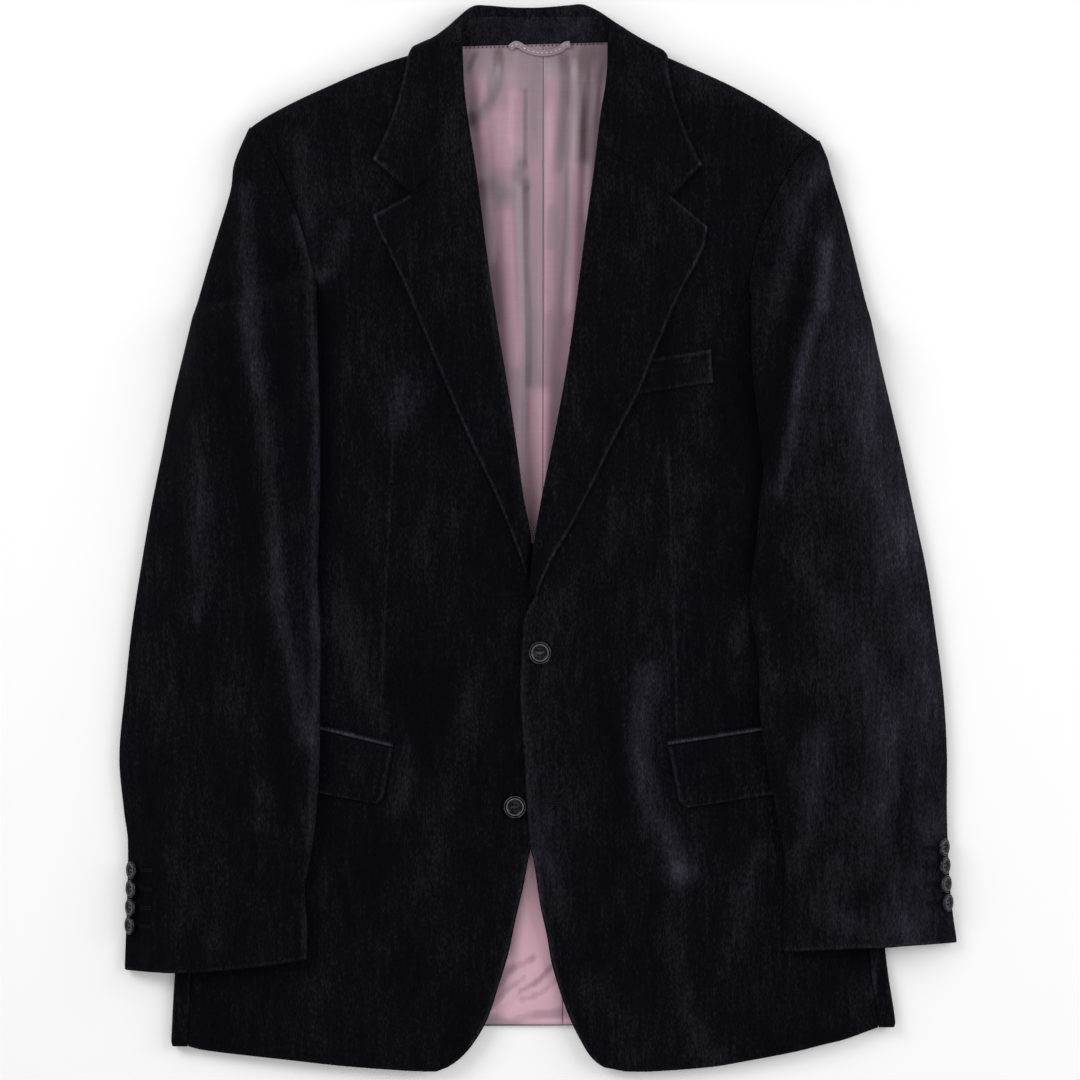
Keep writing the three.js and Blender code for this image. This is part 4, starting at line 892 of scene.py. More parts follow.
DART_DEPTH = 0.9
DART_HALF_WIDTH = 1.3
DART_FADE_TOP = 24
DART_FADE_FOOT = 4


def dart_trough(side, x, y):
    """The dart's sewn line: a narrow bell below the cloth, fading at its ends."""
    high, low = side.dart_ends
    shown = ease(y, high, high - DART_FADE_TOP) * ease(y, low, low + DART_FADE_FOOT)
    return -DART_DEPTH * shown * np.exp(-((x - side.dart(y)) / DART_HALF_WIDTH) ** 2)


DART_RIM = np.array([0.6, 1.3, 2.2]) / FRONT_WIDTH
FRONT_SHARES = np.unique(np.concatenate([
    shares_across(FRONT_WIDTH, CELL), 0.5 + DART_RIM, 0.5 - DART_RIM, [0.5],
]).round(6))

for side in (right, left):
    x, y, reach = panel_grid(side, front_inner, side_seam, side.hem, FRONT_SHARES, side.dart)
    z = front_height(side, x, y)
    z += crease_height(FRONT_CREASES, x, y) * soften(inside_fold(side, x, y) / SIDE_SLOPE)
    z += dart_trough(side, x, y)
    side.front = stack(x, y, z)
    side.seam_rows = side.front[reach >= 1]


# The back

BACK_HEM_CENTRE = -380
BACK_LAST_ROW = -366
BACK_HEM_ROWS = 5


def back_hem(side, x):
    outer = side.fold(BACK_HEM_CENTRE)
    return mix(BACK_HEM_CENTRE, side.hem(outer) + 1, (x / outer) ** 2)


def centre_seam(side, y):
    return CENTRE_SEAM_X + side.sign * SEAM_GAP / 2 + 0 * y


def back_sheet(side):
    """The panel's rows down to the last straight one, then rows mixed from it to the hem."""
    x, y, _ = panel_grid(side, centre_seam, back_seam, lambda x: 0 * x, shares_across(BACK_WIDTH, CELL))
    kept = y[:, 0] >= BACK_LAST_ROW
    x = x[kept]
    y = y[kept]
    down = steps(BACK_HEM_ROWS)[1:, None]
    x = np.concatenate([x, np.repeat(x[-1:], BACK_HEM_ROWS, axis=0)])
    y = np.concatenate([y, mix(y[-1:], back_hem(side, x[-1:]), down)])
    return stack(x, y, back_height(x, y))


# The panel under the arm

# How far in from the fold the panel's next points lie, on the coat and on the floor, and the share
# of the seam's height in the first one's
SIDE_FLAT_TOP = 9
SIDE_FLAT_FLOOR = 20
SIDE_TOP_SHARE = 0.4


def side_sheet(side):
    """Rows from the fore part's seam over the side fold, a half circle, to the floor."""
    seam = side.seam_rows[:, -1]
    fold = side.fold(seam[:, 1])
    radius = SIDE_FOLD_HEIGHT / 2
    turns = np.radians([90, 67, 45, 22, 0, -22, -45, -67, -90])
    floor = [SIDE_FLAT_FLOOR, SIDE_PANEL_FLOOR - FLOOR_SEAM_GAP]
    inward = np.concatenate([[SIDE_FLAT_TOP], radius * (1 - np.cos(turns)), floor])
    x = fold[:, None] - side.sign * inward
    z = np.broadcast_to(np.concatenate([[0], radius + radius * np.sin(turns), [0, 0]]), x.shape).copy()
    z[:, 0] = mix(SIDE_FOLD_HEIGHT, seam[:, 2], SIDE_TOP_SHARE)
    x = np.concatenate([seam[:, :1] + side.sign * SIDE_SEAM_GAP, x], axis=1)
    z = np.concatenate([seam[:, 2:], z], axis=1)
    rows = stack(x, seam[:, 1:2], z)
    fine = refine(rows, 3, axis=1)
    fine[..., 2] = np.maximum(fine[..., 2], 0)
    return fine


for side in (right, left):
    back_name = "back_" + side.name
    back_points = back_sheet(side)
    laid_cloth(back_name, back_points, BODY_CLOTH, (0, 0, -1), velveteen,
               rims={"start": "plumb", "end": "plumb", "top": "level"})
    side_points = side_sheet(side)
    side_tone = tones_over(BODY_PAINTED_LIGHT, side_points)
    laid_cloth("side_panel_" + side.name, side_points, BODY_CLOTH, (side.sign, 0, 0), velveteen,
               rests_on=[back_name], tone=side_tone, rims={"start": "plumb", "end": "plumb"},
               rolls={"bottom": (3.0, 1.0)}, worn={"start": 0.06})


# The pocket flaps, their jets and the breast pocket's welt

def patch(side, corners, cell, corner_round, lift):
    """A four-cornered shape on the fore part: rows mixed between its corners, the lower ones drawn
    in by a quarter circle, lifted off the cloth."""
    top_inner, top_outer, low_outer, low_inner = np.array(corners, dtype=float)
    depth = np.linalg.norm(low_inner - top_inner)
    width = np.linalg.norm(top_outer - top_inner)
    down = shares_across(depth, cell, FINE_RIM)[:, None]
    across = shares_across(width, cell, FINE_RIM)
    past = np.clip((down * depth - (depth - corner_round)) / max(corner_round, 1e-6), 0, 1)
    inset = corner_round * (1 - np.sqrt(1 - past ** 2)) / width
    along = mix(inset, 1 - inset, across)[..., None]
    start = mix(top_inner, low_inner, down)[:, None, :]
    stop = mix(top_outer, low_outer, down)[:, None, :]
    place = mix(start, stop, along)
    x = place[..., 0]
    y = place[..., 1]
    return stack(x, y, front_height(side, x, y) + lift)


POCKETS = {
    "right": [(-112.5, -163), (-238, -133), (-236, -187), (-120.5, -206.5)],
    "left": [(100.5, -161.5), (232, -141.5), (230, -192), (110.5, -209.5)],
}
# How far the pocket's and the welt's pieces lie off the cloth under them
FLAP_LIFT = 0.6
TRIM_LIFT = 0.5
FLAP_CORNER_ROUND = 8
# The soft line along a flap's inner seam: how far in it is, its half width and its tone
FLAP_INNER_LINE = 8.5
FLAP_LINE_WIDTH = 0.9
FLAP_LINE_TONE = 0.05
# The share of the bands of painted light and shade in a flap's tone, and of the dart's depth in the fore
# part's, which paints a highlight along the dart
FLAP_PAINTED_LIGHT_SHARE = 0.4
DART_TONE = 0.11
JET_CELL = 1.2
JET_HEIGHT = 4.6
JET_GAP = 0.6
WELT = [(36, 131.5), (134, 146.6), (136, 120.5), (38, 105.5)]
# The light line that the welt's turned edge presses through, as a band of the pile's tone
WELT_LINE = (0.09, 1, [(84, 130.5), (119, 137.5)])

for side in (right, left):
    flap = POCKETS[side.name]
    flap_points = patch(side, flap, FINE_CELL, FLAP_CORNER_ROUND, FLAP_LIFT + FLAP_CLOTH)
    inner_line = edge_distances(flap_points)
    inner_line = np.minimum(inner_line["start"], inner_line["bottom"]) - FLAP_INNER_LINE
    flap_tone = FLAP_PAINTED_LIGHT_SHARE * tones_over(BODY_PAINTED_LIGHT, flap_points)
    flap_tone += FLAP_LINE_TONE * np.exp(-(inner_line / FLAP_LINE_WIDTH) ** 2)
    laid_cloth("pocket_flap_" + side.name, flap_points, FLAP_CLOTH, (0, 0, 1), velveteen,
               rests_on=["front_" + side.name + "_cloth"], tone=flap_tone,
               worn={"start": 0.12, "bottom": 0.12},
               rolls={"start": (3.4, 1.3), "end": (3.4, 1.3), "bottom": (3.4, 1.3), "top": (1.2, 0.6)})
    jet_low = [(x, y + JET_GAP) for x, y in flap[:2]]
    jet_high = [(x, y + JET_GAP + JET_HEIGHT) for x, y in flap[:2]]
    jet_points = patch(side, jet_high + jet_low[::-1], JET_CELL, 0, TRIM_LIFT + JET_CLOTH)
    jet = worn_cloth("pocket_jet_" + side.name, jet_points, JET_CLOTH, (0, 0, 1), velveteen,
                     rolls={"top": (1.8, 0.9), "bottom": (1.8, 0.9)}, worn={"top": 0.08, "bottom": 0.26})
    # The fore part's tone: bands of painted highlights and painted shade, and a painted highlight along the
    # dart
    front_tone = tones_over(BODY_PAINTED_LIGHT, side.front)
    front_tone -= DART_TONE * dart_trough(side, side.front[..., 0], side.front[..., 1])
    laid_cloth("front_" + side.name, side.front, BODY_CLOTH, (0, 0, 1), velveteen,
               rests_on=["back_" + side.name + "_cloth"], with_pieces=[jet], tone=front_tone,
               worn={"start": 0.12, "bottom": 0.06},
               rims={"start": "plumb", "end": "plumb", "top": "level"},
               rolls={"start": (4.5, 1.4), "bottom": (4.0, 1.3), "end": (2.2, 0.9), "top": (2.4, 0.9)})

welt_points = patch(left, WELT, FINE_CELL, 0, TRIM_LIFT + WELT_CLOTH)
welt_tone = tones_over([*BODY_PAINTED_LIGHT, WELT_LINE], welt_points)
laid_cloth("chest_welt", welt_points, WELT_CLOTH, (0, 0, 1), velveteen,
           rests_on=["front_left_cloth"], tone=welt_tone, worn={"top": 0.12, "end": 0.12, "bottom": 0.08},
           rolls={"start": (2.2, 1.0), "end": (2.2, 1.0), "bottom": (1.4, 0.7), "top": (2.8, 1.2)})


# The lapels and the collar

TURNS = np.radians(np.linspace(-90, 90, 13))
WELT_RISE = 2.6
GORGE_SHARE = 0.6
GORGE_GAP = 0.1
LAPEL_ROWS = 120
LAPEL_ROW_STEP = 1 / 15
# How far the lapel's and the collar's edges stand off the fore part
LAPEL_GAP = 0.9
COLLAR_GAP = 1.2
# How fast the gorge's kink fades down the lapel
KINK_FADE = 2.2


def lapel_lift(side, y):
    """How much the lapel's edge stands off the fore part, more where the chest welt runs under it."""
    over_welt = WELT_RISE * ease(y, *WELT_TOP_Y) * ease(y, *WELT_FOOT_Y) if side is left else 0
    return LAPEL_CLOTH + LAPEL_GAP + over_welt


def leaf_rows(side, start, end, drop, radius, edge_lift, shares):
    """Rows across a turned-back leaf: a half circle round the roll, then mixed out to the edge with
    a kink at the gorge's share, on the fore part's height plus a lift that eases to the edge's."""
    radius = radius[:, None]
    start_x = start[:, :1]
    start_y = start[:, 1:]
    base = front_height(side, start_x + side.sign * (radius + 1), start_y) - BODY_CLOTH
    inset = radius * (1 - np.cos(TURNS))
    inset[:, :1] = radius + ROLL_START
    rolled = stack(start_x + side.sign * inset, start_y, base + radius + radius * np.sin(TURNS))
    kink = np.where(shares < GORGE_SHARE, shares / GORGE_SHARE, (1 - shares) / (1 - GORGE_SHARE))
    x = mix(rolled[:, -1:, 0], end[:, :1], shares) + drop[:, :1] * kink
    y = mix(start_y, end[:, 1:], shares) + drop[:, 1:] * kink
    lift = mix(2 * radius - BODY_CLOTH, edge_lift(side, y), soften(shares))
    return np.concatenate([rolled, stack(x, y, front_height(side, x, y) + lift)], axis=1)


def gorge_kink(side, start_x, end):
    """The move that carries a leaf's straight row to the gorge's end."""
    shoulder = start_x + side.sign * ROLL_RADIUS
    return np.array([side.gorge_end[0] - mix(shoulder, end[0], GORGE_SHARE),
                     side.gorge_end[1] - mix(side.gorge_y, end[1], GORGE_SHARE)])


LAPEL_SHARES = np.unique(np.concatenate([steps(50)[1:], [GORGE_SHARE, 0.965, 0.985, 0.993]]).round(6))


def lapel_sheet(side):
    """Rows from the gorge to the break. The kink at the gorge fades down the leaf: along X over the
    first row step, and along Y as the square of what is left of the way."""
    share = np.unique(np.concatenate([steps(LAPEL_ROWS), [0.002, 0.005]]))
    roll_y = mix(side.gorge_y - GORGE_GAP, side.lapel_end[0], share)
    edge_y = mix(side.lapel_tip_y, side.lapel_end[1], share)
    start = np.stack([side.roll(roll_y), roll_y], axis=1)
    end = np.stack([side.lapel_edge(edge_y), edge_y], axis=1)
    kink = gorge_kink(side, side.roll(side.gorge_y), end[0])
    fade_x = np.clip(1 - share / LAPEL_ROW_STEP, 0, 1)
    fade_y = np.maximum(0, 1 - KINK_FADE * share) ** 2
    drop = np.stack([kink[0] * fade_x, kink[1] * fade_y - GORGE_GAP * fade_x], axis=1)
    return leaf_rows(side, start, end, drop, roll_radius(side, roll_y), lapel_lift, LAPEL_SHARES)


COLLAR_EDGE = curve([(-130, 367), (-115, 372.5), (-104, 377.5), (-97, 382.6), (-89.7, 386), (-81, 390),
                     (-70, 398), (-59, 408), (-53, 413), (-45, 414.7), (-24, 413), (-5, 412.4), (11, 413.3),
                     (32, 415.2), (40, 414.7), (47, 410), (59, 402), (78, 390), (91, 383), (100, 378.5),
                     (113, 372.5), (130, 365)])
COLLAR_FOLD = curve([(0, 16.4), (45, 16.8), (53, 18.5), (60, 21), (80, 21.6), (104, 21.4)])
FOLD_QUARTER = 15.5
# The Y of each row's roll, its edge's X and Y, and the share of the gorge's kink
COLLAR_FRONT = {
    "right": [(303, -128, 293, 1), (318, -121, 308, 0.5), (333, -114.5, 323, 0.18), (348, -109, 339, 0.04),
              (362, -105.5, 354, 0), (373, -103, 364, 0)],
    "left": [(303, 127, 289, 1), (318, 119.5, 305, 0.5), (333, 112.5, 321, 0.18), (348, 107, 337, 0.04),
             (362, 103.5, 352, 0), (373, 101, 363, 0)],
}
# Round the neck: the roll's distance from the middle and its Y, the edge's distance from the middle,
# its reach past the fold, and how much the row still lies over
COLLAR_BACK = [
    (58.3, 384, 101, 9, 1), (58.2, 387.5, 99.5, 3, 0.85), (58, 391, 98, -3, 0.65),
    (57.6, 394, 96, -9, 0.45), (57, 397, 93, -15, 0.28), (56, 400, 88, -21, 0.14), (54, 403, 79, -31, 0.05),
    (47, 404.4, 66, -41, 0), (36, 404.4, 48, -48, 0), (24, 404.4, 31, -51, 0), (12, 404.4, 15, -52, 0),
]
COLLAR_CENTRE = (0, 404.4, 0, -52, 0)
# How far from the middle the left side's shift has its full size, and the share of the wrap over
# which the crest eases into the fold
NECK_SHIFT_REACH = 50
WRAP_EASE = 0.25
COLLAR_STEPS = np.linspace(0, 7, 50)[1:]
COLLAR_SHARES = np.interp(COLLAR_STEPS, range(8), [0, 0.15, 0.3, 0.45, GORGE_SHARE, 0.73, 0.86, 1])
WRAP_SHARES = np.interp(COLLAR_STEPS, range(8), [0, 0.09, 0.18, 0.27, 0.37, 0.5, 0.75, 1])


def collar_point(x, reach):
    """A place on the collar's fold: `reach` runs from the top, through 0 on its outline, to the
    floor, as a half turn of an upright oval with straight runs before and after it."""
    height = COLLAR_FOLD(np.abs(x))
    turn = np.clip((1 - reach / FOLD_QUARTER) / 2, 0, 1) * np.pi
    past = np.maximum(0, np.abs(reach) - FOLD_QUARTER)
    y = COLLAR_EDGE(x) - COLLAR_FOLD_ROUND * (1 - np.sin(turn)) - past
    return stack(x, y, height / 2 * (1 + np.cos(turn)))


def collar_back_row(side, row):
    """One row round the neck: from the roll, between a lying half circle and an upright stand's
    crest, over the collar's fold to its edge."""
    away, y, edge, reach, lying = row
    shift = -LEFT_NECK_SHIFT * float(soften(away / NECK_SHIFT_REACH)) if side is left else 0
    start = np.array([side.sign * (away + shift), y])
    edge_x = side.sign * edge
    way = np.array([edge_x, collar_point(edge_x, max(reach, 0))[1]]) - start
    if lying == 0:
        way = np.array([0.0, 1.0])
    way /= np.linalg.norm(way)
    share = (np.degrees(TURNS) + 90) / 180
    round_way = ROLL_RADIUS * (1 - np.cos(TURNS))
    round_way[0] = ROLL_RADIUS + ROLL_START
    plan = start + way * mix(ROLL_RADIUS * share, round_way, lying)[:, None]
    rolled = COLLAR_ROLL_LOW + ROLL_RADIUS * (1 + np.sin(TURNS))
    crest = STAND_HIGH + COLLAR_CREST * share
    first = stack(plan[:, 0], plan[:, 1], mix(crest, rolled, lying))
    from_x, from_y, from_z = first[-1]
    from_reach = FOLD_QUARTER + COLLAR_EDGE(from_x) - COLLAR_FOLD_ROUND - from_y
    wrapped = collar_point(mix(from_x, edge_x, WRAP_SHARES), mix(from_reach, reach, WRAP_SHARES))
    wrapped[:, 2] = mix(from_z, wrapped[:, 2], soften(WRAP_SHARES / WRAP_EASE))
    return np.concatenate([first, wrapped])


def collar_half(side):
    """One half's rows: those on the fore part, then those round the neck."""
    table = np.array(COLLAR_FRONT[side.name], dtype=float)
    start = np.stack([side.roll(table[:, 0]), table[:, 0]], axis=1)
    end = table[:, 1:3]
    drop = gorge_kink(side, side.roll(side.gorge_y), end[0]) * table[:, 3:]
    front = leaf_rows(side, start, end, drop, roll_radius(side, table[:, 0]),
                      lambda side, y: COLLAR_CLOTH + COLLAR_GAP, COLLAR_SHARES)
    return [*front, *(collar_back_row(side, row) for row in COLLAR_BACK)]


STAND_EDGE = [(-59, 398), (-51, 404.5), (-36, 405.2), (-24, 405.2), (-12, 405.2), (0, 405.2), (12, 405.2),
              (24, 405.2), (36, 405.2), (47, 404.5), (54.5, 398)]


NECK_RISE = 0.8
NECK_SLANT = 0.03


def neck_line(x):
    """The Y of the neck seam, which lies a little askew."""
    return NECK_Y + NECK_RISE + NECK_SLANT * x


def stand_height(y):
    return mix(STAND_LOW, STAND_HIGH, np.clip((y - NECK_Y) / (STAND_TOP_Y - NECK_Y), 0, 1))


def stand_sheet():
    """The stand's inner face, rising evenly from the neck seam to the collar's seam."""
    edge = refine(STAND_EDGE, 5)
    y = mix(neck_line(edge[:, :1]) + SEAM_GAP, edge[:, 1:], shares_across(STAND_WIDTH, EDGE_CELL, EDGE_RIM))
    return stack(edge[:, :1], y, stand_height(y))


def seam_or_edge(side, row, seam, edge):
    """One value along the gorge, where a row is sewn, and another past it, where it is an edge."""
    return np.where(np.abs(row[:, 0]) < abs(side.gorge_end[0]) - 1, seam, edge)


for side in (right, left):
    lapel_points = lapel_sheet(side)
    lapel_tone = tones_over(BODY_PAINTED_LIGHT, lapel_points)
    top_row = lapel_points[0]
    laid_cloth("lapel_" + side.name, lapel_points, LAPEL_CLOTH, (-side.sign, 0, 0.2), velveteen,
               rests_on=["front_" + side.name + "_cloth"], tone=lapel_tone,
               worn={"end": 0.16, "top": seam_or_edge(side, top_row, -0.02, 0.14)},
               rims={"top": "plumb", "start": "plumb"},
               rolls={"end": (5.0, 1.5), "top": (2.4, seam_or_edge(side, top_row, 0.35, 1.2)),
                      "bottom": (2.0, 0.8)})

collar_rows = [*collar_half(right), collar_back_row(right, COLLAR_CENTRE), *collar_half(left)[::-1]]
collar_points = refine(np.array(collar_rows), 6)
collar_tone = tones_over(BODY_PAINTED_LIGHT, collar_points)
laid_cloth("collar", collar_points, COLLAR_CLOTH, (0, 1, 0.2), velveteen,
           rests_on=["front_right_cloth", "front_left_cloth"], tone=collar_tone,
           worn={"end": 0.12, "top": seam_or_edge(right, collar_points[0], -0.02, 0.16),
                 "bottom": seam_or_edge(left, collar_points[-1], -0.02, 0.16)},
           rims={"top": "plumb", "bottom": "plumb", "start": "plumb"},
           rolls={"end": (4.0, 1.3), "top": (2.4, seam_or_edge(right, collar_points[0], 0.35, 1.2)),
                  "bottom": (2.4, seam_or_edge(left, collar_points[-1], 0.35, 1.2)), "start": (1.6, 0.6)})
stand_points = stand_sheet()
laid_cloth("collar_stand", stand_points, BODY_CLOTH, (0, 0, 1), velveteen,
           rests_on=["back_right_cloth", "back_left_cloth"],
           tone=0.12, rims={"start": "plumb", "end": "plumb"},
           rolls={"start": (0.7, 0.3), "end": (0.7, 0.3), "top": (0.7, 0.3), "bottom": (0.7, 0.3)})


# The lining, the hanger loop and its stitching

lining_width = curve([(387, 60), (362, 60), (340, 60), (300, 60), (225, 56), (100, 44), (0, 34),
                      (-240, 34), (-330, 60), (-375, 84)])
LINING_BOTTOM = -379.2
# How far the lining's centre seam has slipped towards the left at the foot
LINING_SLIP = 15.5
LINING_LIFT = 0.7
# The deepest that the lining's creases go, and how far below the neck its pleats take to open
LINING_SINK = 0.6
PLEAT_OPENING = 24
# The lining's own tone, and the shares in it of its pleats' height, painted light on the crests and painted
# shade in the creases, and of its bands of two-tone and painted light and shade
LINING_TONE = 0.08
PLEAT_PAINTED_SHADE = 0.03
LINING_BAND_SHARE = 1.3


def lining_pleats(x, y):
    pleats = np.maximum(0, fold_height(LINING_FOLDS, x, y)) * ease(y, NECK_Y, NECK_Y - PLEAT_OPENING)
    return np.maximum(-LINING_SINK, pleats + crease_height(LINING_CREASES, x, y))


def lining_height(x, y):
    return back_height(x, y) + BODY_CLOTH + LINING_LIFT + LINING_CLOTH + lining_pleats(x, y)


LOOP_WIDTH = 5
LOOP_PATH = [(-22, 381.5), (-18, 384.3), (-14.5, 383.8), (-9, 380.5), (-3, 378.6), (4.4, 377.6),
             (11, 378.4), (17, 380.6), (21, 383.8), (25, 384.5)]
LOOP_STITCH = 2.2
LOOP_STITCH_STEP = 3.6
STITCH_RADIUS = 0.3
LOOP_LIFT = 0.6
# The felled stitches along the neck seam: where the row starts and ends, its step and its thread
NECK_STITCHES = (-56, 52, 3.2)
NECK_THREAD = 0.28
NECK_THREAD_LIFT = 0.15


def loop_rows():
    """The loop's ribbon: its middle line, and across it a strip that rests on what is under it."""
    middle = refine(LOOP_PATH, 8)
    way = np.gradient(middle, axis=0)
    way /= np.linalg.norm(way, axis=1, keepdims=True)
    across = np.stack([-way[:, 1], way[:, 0]], axis=1)[:, None, :]
    place = middle[:, None, :] + across * np.linspace(1, -1, 9)[None, :, None] * LOOP_WIDTH / 2
    x = place[..., 0]
    y = place[..., 1]
    under = np.where(y > NECK_Y, stand_height(y), lining_height(x, y))
    return stack(x, y, under.max(axis=1, keepdims=True) + LOOP_LIFT + LOOP_CLOTH)


loop_points = loop_rows()
loop = worn_cloth("hanger_loop", loop_points, LOOP_CLOTH, (0, 0, 1), satin,
                  rolls={"start": (0.8, 0.3), "end": (0.8, 0.3), "top": (0.6, 0.2), "bottom": (0.6, 0.2)},
                  tone=0.05, worn={"start": -0.1, "end": -0.1})

loop_line = loop_points[:, loop_points.shape[1] // 2]
loop_length = np.pad(np.cumsum(np.linalg.norm(np.diff(loop_line, axis=0), axis=1)), (1, 0))
stitch_parts = []
for begin in np.arange(1.5, loop_length[-1] - LOOP_STITCH, LOOP_STITCH_STEP):
    at = np.linspace(begin, begin + LOOP_STITCH, 7)
    line = np.stack([np.interp(at, loop_length, loop_line[:, axis]) for axis in range(3)], axis=1)
    line[:, 2] += 0.2 * np.sin(np.linspace(0, np.pi, 7))
    stitch_parts.append(tube(line, STITCH_RADIUS, (0, 0, 1)))
loop_stitches = make_piece("hanger_loop_stitches", *joined(stitch_parts), white_thread)
close_and_face_out(loop_stitches)

# The felled stitches that hold the lining along the neck seam
neck_parts = []
for x in np.arange(*NECK_STITCHES):
    y = neck_line(x) + np.linspace(-2.0, -0.3, 5)
    lean = x + np.linspace(-0.2, 0.4, 5)
    path = stack(lean, y, lining_height(lean, y) + NECK_THREAD_LIFT)
    neck_parts.append(tube(path, NECK_THREAD, (0, 0, 1), sides=6))
neck_stitches = make_piece("neck_stitches", *joined(neck_parts), black_thread)
close_and_face_out(neck_stitches)

for side in (right, left):
    y = np.linspace(NECK_Y, LINING_BOTTOM, 220)[:, None]
    centre = CENTRE_SEAM_X + LINING_SLIP * ease(y, *LINING_SLIP_Y) + side.sign * SEAM_GAP / 2
    x = mix(centre, side.sign * lining_width(y), shares_across(LINING_WIDTH, EDGE_CELL, EDGE_RIM))
    y = y + (neck_line(x) - NECK_Y) * ease(y, NECK_Y - 40, NECK_Y)
    lining_points = stack(x, y, lining_height(x, y))
    # Painted light and shade from the pleats' height and from the bands, over the lining's own tone
    lining_tone = PLEAT_PAINTED_SHADE * lining_pleats(x, y) + LINING_TONE + LINING_BAND_SHARE * bands(LINING_SHOT_AND_PAINTED_LIGHT, x, y, 4)
    laid_cloth("back_lining_" + side.name, lining_points, LINING_CLOTH, (0, 0, 1), satin,
               rests_on=["back_" + side.name + "_cloth"], tone=lining_tone,
               with_pieces=[loop, loop_stitches, neck_stitches] if side is left else [],
               rims={"start": "plumb"},
               rolls={"start": (1.2, 0.5), "top": (0.5, 0.2), "bottom": (2.0, 0.7)})


# The sleeves

SLEEVE_NEAR = curve([(0, 14), (0.1, 13), (0.3, 12), (0.6, 11), (0.85, 10.5), (1, 10)])
SLEEVE_FAR = curve([(0, 22), (0.1, 22), (0.3, 20), (0.6, 17), (0.85, 14), (1, 13)])
INNER_EDGE_LAG = 1.35
# Under the arm the sleeve's support ends on a slant, from above the armhole's foot down to the seam
UNDERARM_RISE = 9
UNDERARM_DROP = 32
UNDERARM_SEAM_Y = 152
# The share of the sleeve's length over which its head eases into its general form, and the share of
# the width over which the head's rise fades
HEAD_LENGTH = 0.08
HEAD_WIDTH = 0.25
# The shares of the length over which the armhole's bow and the shoulder's rounding fade
BOW_LENGTH = 0.3
ROUND_LENGTH = 0.1
# The shares of the width over which the inner loft passes into the outer one, and the arch's fullness
LOFT_SHARES = (0.3, 0.8)
ARCH_FULLNESS = 2.2
# Distances from a sleeve's edge over which its base, its head and its folds ease in
BASE_EASE = 25
HEAD_EASE = 10
FOLD_EASE = 14
# Nearer than this to a sleeve's edge is on its seam, where the two pieces keep half a gap each
TOUCHING = 1e-6
# How much further in than the side seam the sleeve begins to lean outwards
LEAN_START = 6
POCKET_RISE = 2.9


def pocket_rise(x, y):
    """Where the pocket flap lies under the sleeve, the sleeve passes over it."""
    return POCKET_RISE * ease(np.abs(x), *POCKET_X) * ease(y, *POCKET_FOOT_Y) * ease(y, *POCKET_TOP_Y)


def support(side, x, y):
    """The height of what a sleeve lies on: the body beside the side fold and under the armhole,
    easing over a short drop to the floor."""
    away = side.sign * x
    armhole_x = side.sign * side.armhole(ARMHOLE_BOTTOM_Y)
    seam_x = side.sign * side_seam(side, UNDERARM_SEAM_Y)
    down = np.clip((away - armhole_x) / (seam_x - armhole_x), 0, 1)
    line_y = ARMHOLE_BOTTOM_Y + UNDERARM_RISE - UNDERARM_DROP * down
    outside = np.maximum(-inside_fold(side, x, y) / SLEEVE_DROP, (y - line_y) / SLEEVE_DROP)
    return (front_height(side, x, y) + SLEEVE_GAP + pocket_rise(x, y)) * (1 - soften(outside))


def sleeve_plan(side, s, u):
    """X, Y and the row's width: the row from the inner edge to the outer one, bowed like the
    armhole near the top and like the cuff near the foot."""
    inner_y = mix(ARMHOLE_BOTTOM_Y, side.cuff_inner_y, s ** INNER_EDGE_LAG)
    outer_y = mix(side.shoulder_y, side.cuff_outer_y, s)
    inner_x = side.sleeve_inner(inner_y)
    outer_x = side.sleeve_outer(outer_y)
    seam_y = mix(ARMHOLE_BOTTOM_Y, side.shoulder_y, u)
    bow = side.armhole(seam_y) - mix(side.armhole(ARMHOLE_BOTTOM_Y), side.armhole(side.shoulder_y), u)
    x = mix(inner_x, outer_x, u) + (bow + side.sign * SIDE_SEAM_GAP) * (1 - soften(s / BOW_LENGTH))
    y = mix(inner_y, outer_y, u) + side.cuff_bow * s ** 3 * 4 * u * (1 - u)
    return x, y, np.hypot(outer_x - inner_x, outer_y - inner_y)


def sleeve_edge(s, u, width):
    """The distance to the nearer edge, and the radius that it rounds with, which is the
    shoulder's where the outer edge begins."""
    outer = mix(SHOULDER_MID, SLEEVE_EDGE_ROUND, soften(s / ROUND_LENGTH))
    return np.minimum(u, 1 - u) * width, np.where(u > 0.5, outer, SLEEVE_EDGE_ROUND)


def under_sleeve_points(side, s, u):
    """The under sleeve: on what carries it, curling up by a quarter circle at either edge."""
    x, y, width = sleeve_plan(side, s, u)
    edge, round_off = sleeve_edge(s, u, width)
    curl = 1 - np.sqrt(1 - (1 - np.clip(edge / round_off, 0, 1)) ** 2)
    return stack(x, y, support(side, x, y) + round_off * curl - np.where(edge < TOUCHING, SEAM_GAP / 2, 0))


